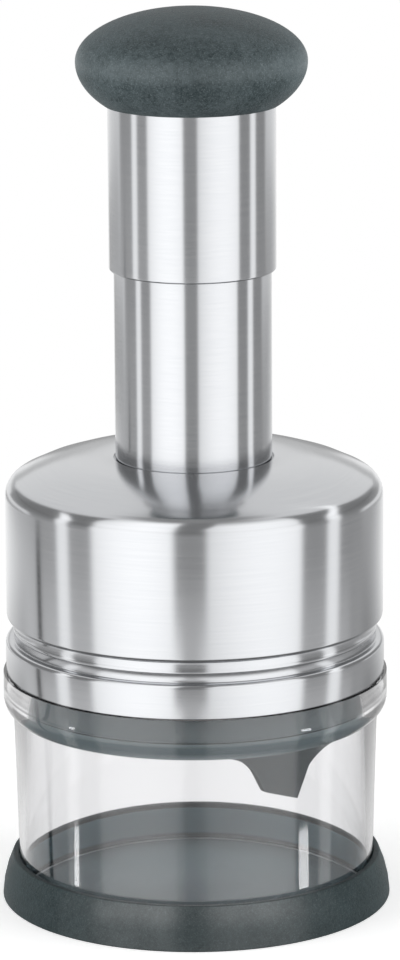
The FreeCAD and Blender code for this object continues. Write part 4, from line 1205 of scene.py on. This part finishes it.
def boxes(f, azimuth, elevation, level):
    """The two softboxes; high up their outer edges spread and the right one's inner edge leans."""
    spread = 0.32 * above(f, elevation, 20.0)
    foot = falling(f, elevation, *BOX_FOOT)
    outer = spread * smooth(f, -azimuth, 40.0, 50.0)
    widen = BOX_WIDENS * foot * smooth(f, azimuth, -40.0, -20.0)
    box = between(f, azimuth + outer - widen, *LEFT_BOX) * falling(f, elevation, *LEFT_BOX_TOP)
    level = paint(level, box, 1.68 - bulge(azimuth, -34.0, 30.0, 0.38))
    inner = 0.45 * above(f, elevation, 33.0) * falling(f, azimuth, 30.0, 40.0)
    outer = spread * smooth(f, azimuth, 40.0, 50.0)
    widen = BOX_WIDENS * foot * falling(f, azimuth, 20.0, 40.0)
    box = between(f, azimuth - inner - outer + widen, *RIGHT_BOX)
    box = box * falling(f, elevation, *RIGHT_BOX_TOP)
    return paint(level, box, 1.58 - bulge(azimuth, 44.0, 34.0, 0.38))


def strips(f, azimuth, elevation, level):
    """The two narrow strips; each leans away from the front with the square of its height."""
    rise = smooth(f, elevation, -5.0, 15.0)
    lean = 0.03 * above(f, elevation, 15.0) ** 2.0
    strip = between(f, azimuth + lean, *LEFT_STRIP) * falling(f, elevation, *LEFT_STRIP_TOP)
    level = paint(level, strip, 1.32 + 0.3 * rise)
    lean = 0.028 * above(f, elevation, 10.0) ** 2.0
    strip = between(f, azimuth - lean, *RIGHT_STRIP) * falling(f, elevation, *RIGHT_STRIP_TOP)
    return paint(level, strip, 1.32 + 0.35 * rise)


def lamps(f, azimuth, elevation, level):
    level = strips(f, azimuth, elevation, boxes(f, azimuth, elevation, level))
    seam = between(f, elevation, *SEAM) * between(f, azimuth, -150.0, 150.0, 8.0)
    level = level * (1.0 - 0.4 * seam)
    return paint(level, falling(f, elevation, *FLOOR), 0.16)


print("softboxes", round(LEFT_BOX[1] - LEFT_BOX[0], 1), "and",
      round(RIGHT_BOX[1] - RIGHT_BOX[0], 1), "degrees wide")

# %% [markdown]
# Rays that only passed through the clear cup look straight at the backdrop, so for them the tent is
# plain white, and brighter where they light the matt parts inside, which the softboxes can't reach.
# Rays that were mirrored on the way see the painted tent. Those that were mirrored inside the cup's
# wall also see two small strong lamps low at the sides, which give the cup its sharp highlights, and
# a dimmer back. Brushed steel would smear the lamps into broad bands, so it doesn't get them.

# %% Tent
SPARKLE = 22.0
LEFT_SPARKLE = (-85.8, -82.2, 0.5)  # azimuths of both edges, and their softness
RIGHT_SPARKLE = (70.4, 77.4, 0.6)
SPARKLE_HEIGHT = (-16.3, -13.2, 0.6)  # the same for elevations
SIDE_LIGHT, FRONT_LIGHT = 4.3, 2.3  # how bright the tent is to the matt parts inside


def sparkles(f, azimuth, elevation):
    left = between(f, azimuth, *LEFT_SPARKLE)
    right = 1.2 * between(f, azimuth, *RIGHT_SPARKLE)
    return SPARKLE * (left + right) * between(f, elevation, *SPARKLE_HEIGHT)


def tent_finish():
    f = Finish("mirrored_tent")
    azimuth, elevation = directions(f)
    level = lamps(f, azimuth, elevation, walls(f, azimuth, elevation))
    mirrored = at_most_one(f, light_path(f, "Glossy Depth"))
    inside = at_most_one(f, light_path(f, "Transmission Depth"))
    matt = at_most_one(f, light_path(f, "Diffuse Depth"))
    side = f.maths("ABSOLUTE", azimuth)
    level = level * (1.0 - 0.2 * inside * between(f, side, 141.0, 165.0, 5.0))
    low_back = smooth(f, side, 156.0, 166.0) * between(f, elevation, 11.0, 26.0, 4.0)
    level = level * (1.0 - 0.4 * inside * low_back)
    level = level + inside * sparkles(f, azimuth, elevation)
    lamp_light = FRONT_LIGHT + (SIDE_LIGHT - FRONT_LIGHT) * smooth(f, side, 15.0, 75.0)
    straight = 1.0 + matt * (lamp_light - 1.0)
    glow = f.node("ShaderNodeEmission", sockets={"Color": paint(straight, mirrored, level)})
    f.node("ShaderNodeOutputMaterial", sockets={"Surface": glow})
    return f.material


def ball_of_quads(radius, around, up):
    """Points and faces of a ball, as rings from pole to pole."""
    points, faces = [], []
    for ring in range(up + 1):
        rise = math.pi * (ring / up - 0.5)
        for step in range(around):
            turn = 2 * math.pi * step / around
            points.append(radius * Vector((math.cos(turn) * math.cos(rise),
                                           math.sin(turn) * math.cos(rise), math.sin(rise))))
    for ring in range(up):
        for step in range(around):
            ahead = (step + 1) % around
            faces.append((ring * around + step, ring * around + ahead,
                          (ring + 1) * around + ahead, (ring + 1) * around + step))
    return points, faces


tent = add_mesh("tent", *ball_of_quads(TENT_RADIUS, TENT_AROUND, TENT_UP))
tent.location.z = TENT_MIDDLE
dress(tent, tent_finish())
hide(tent, "camera", "diffuse", "shadow")
print("tent", TENT_RADIUS, "m in radius")

# %% [markdown]
# ## The backdrop
#
# The backdrop is the world itself: plain white to the eye, to gloss and through clear plastic, and
# only about a third as strong as a light, so that the soft shadows keep their depth.

# %% World
FILL = 0.36  # the backdrop's strength as a light
world = bpy.data.worlds.new("white_backdrop")
world.use_nodes = True
scene.world = world
f = Finish("world", world.node_tree)
glow = f.node("ShaderNodeBackground", sockets={
    "Color": (1.0, 1.0, 1.0, 1.0), "Strength": FILL + (1.0 - FILL) * seen(f)})
f.node("ShaderNodeOutputWorld", sockets={"Surface": glow})
print("backdrop gives", FILL, "of its brightness as light")

# %% [markdown]
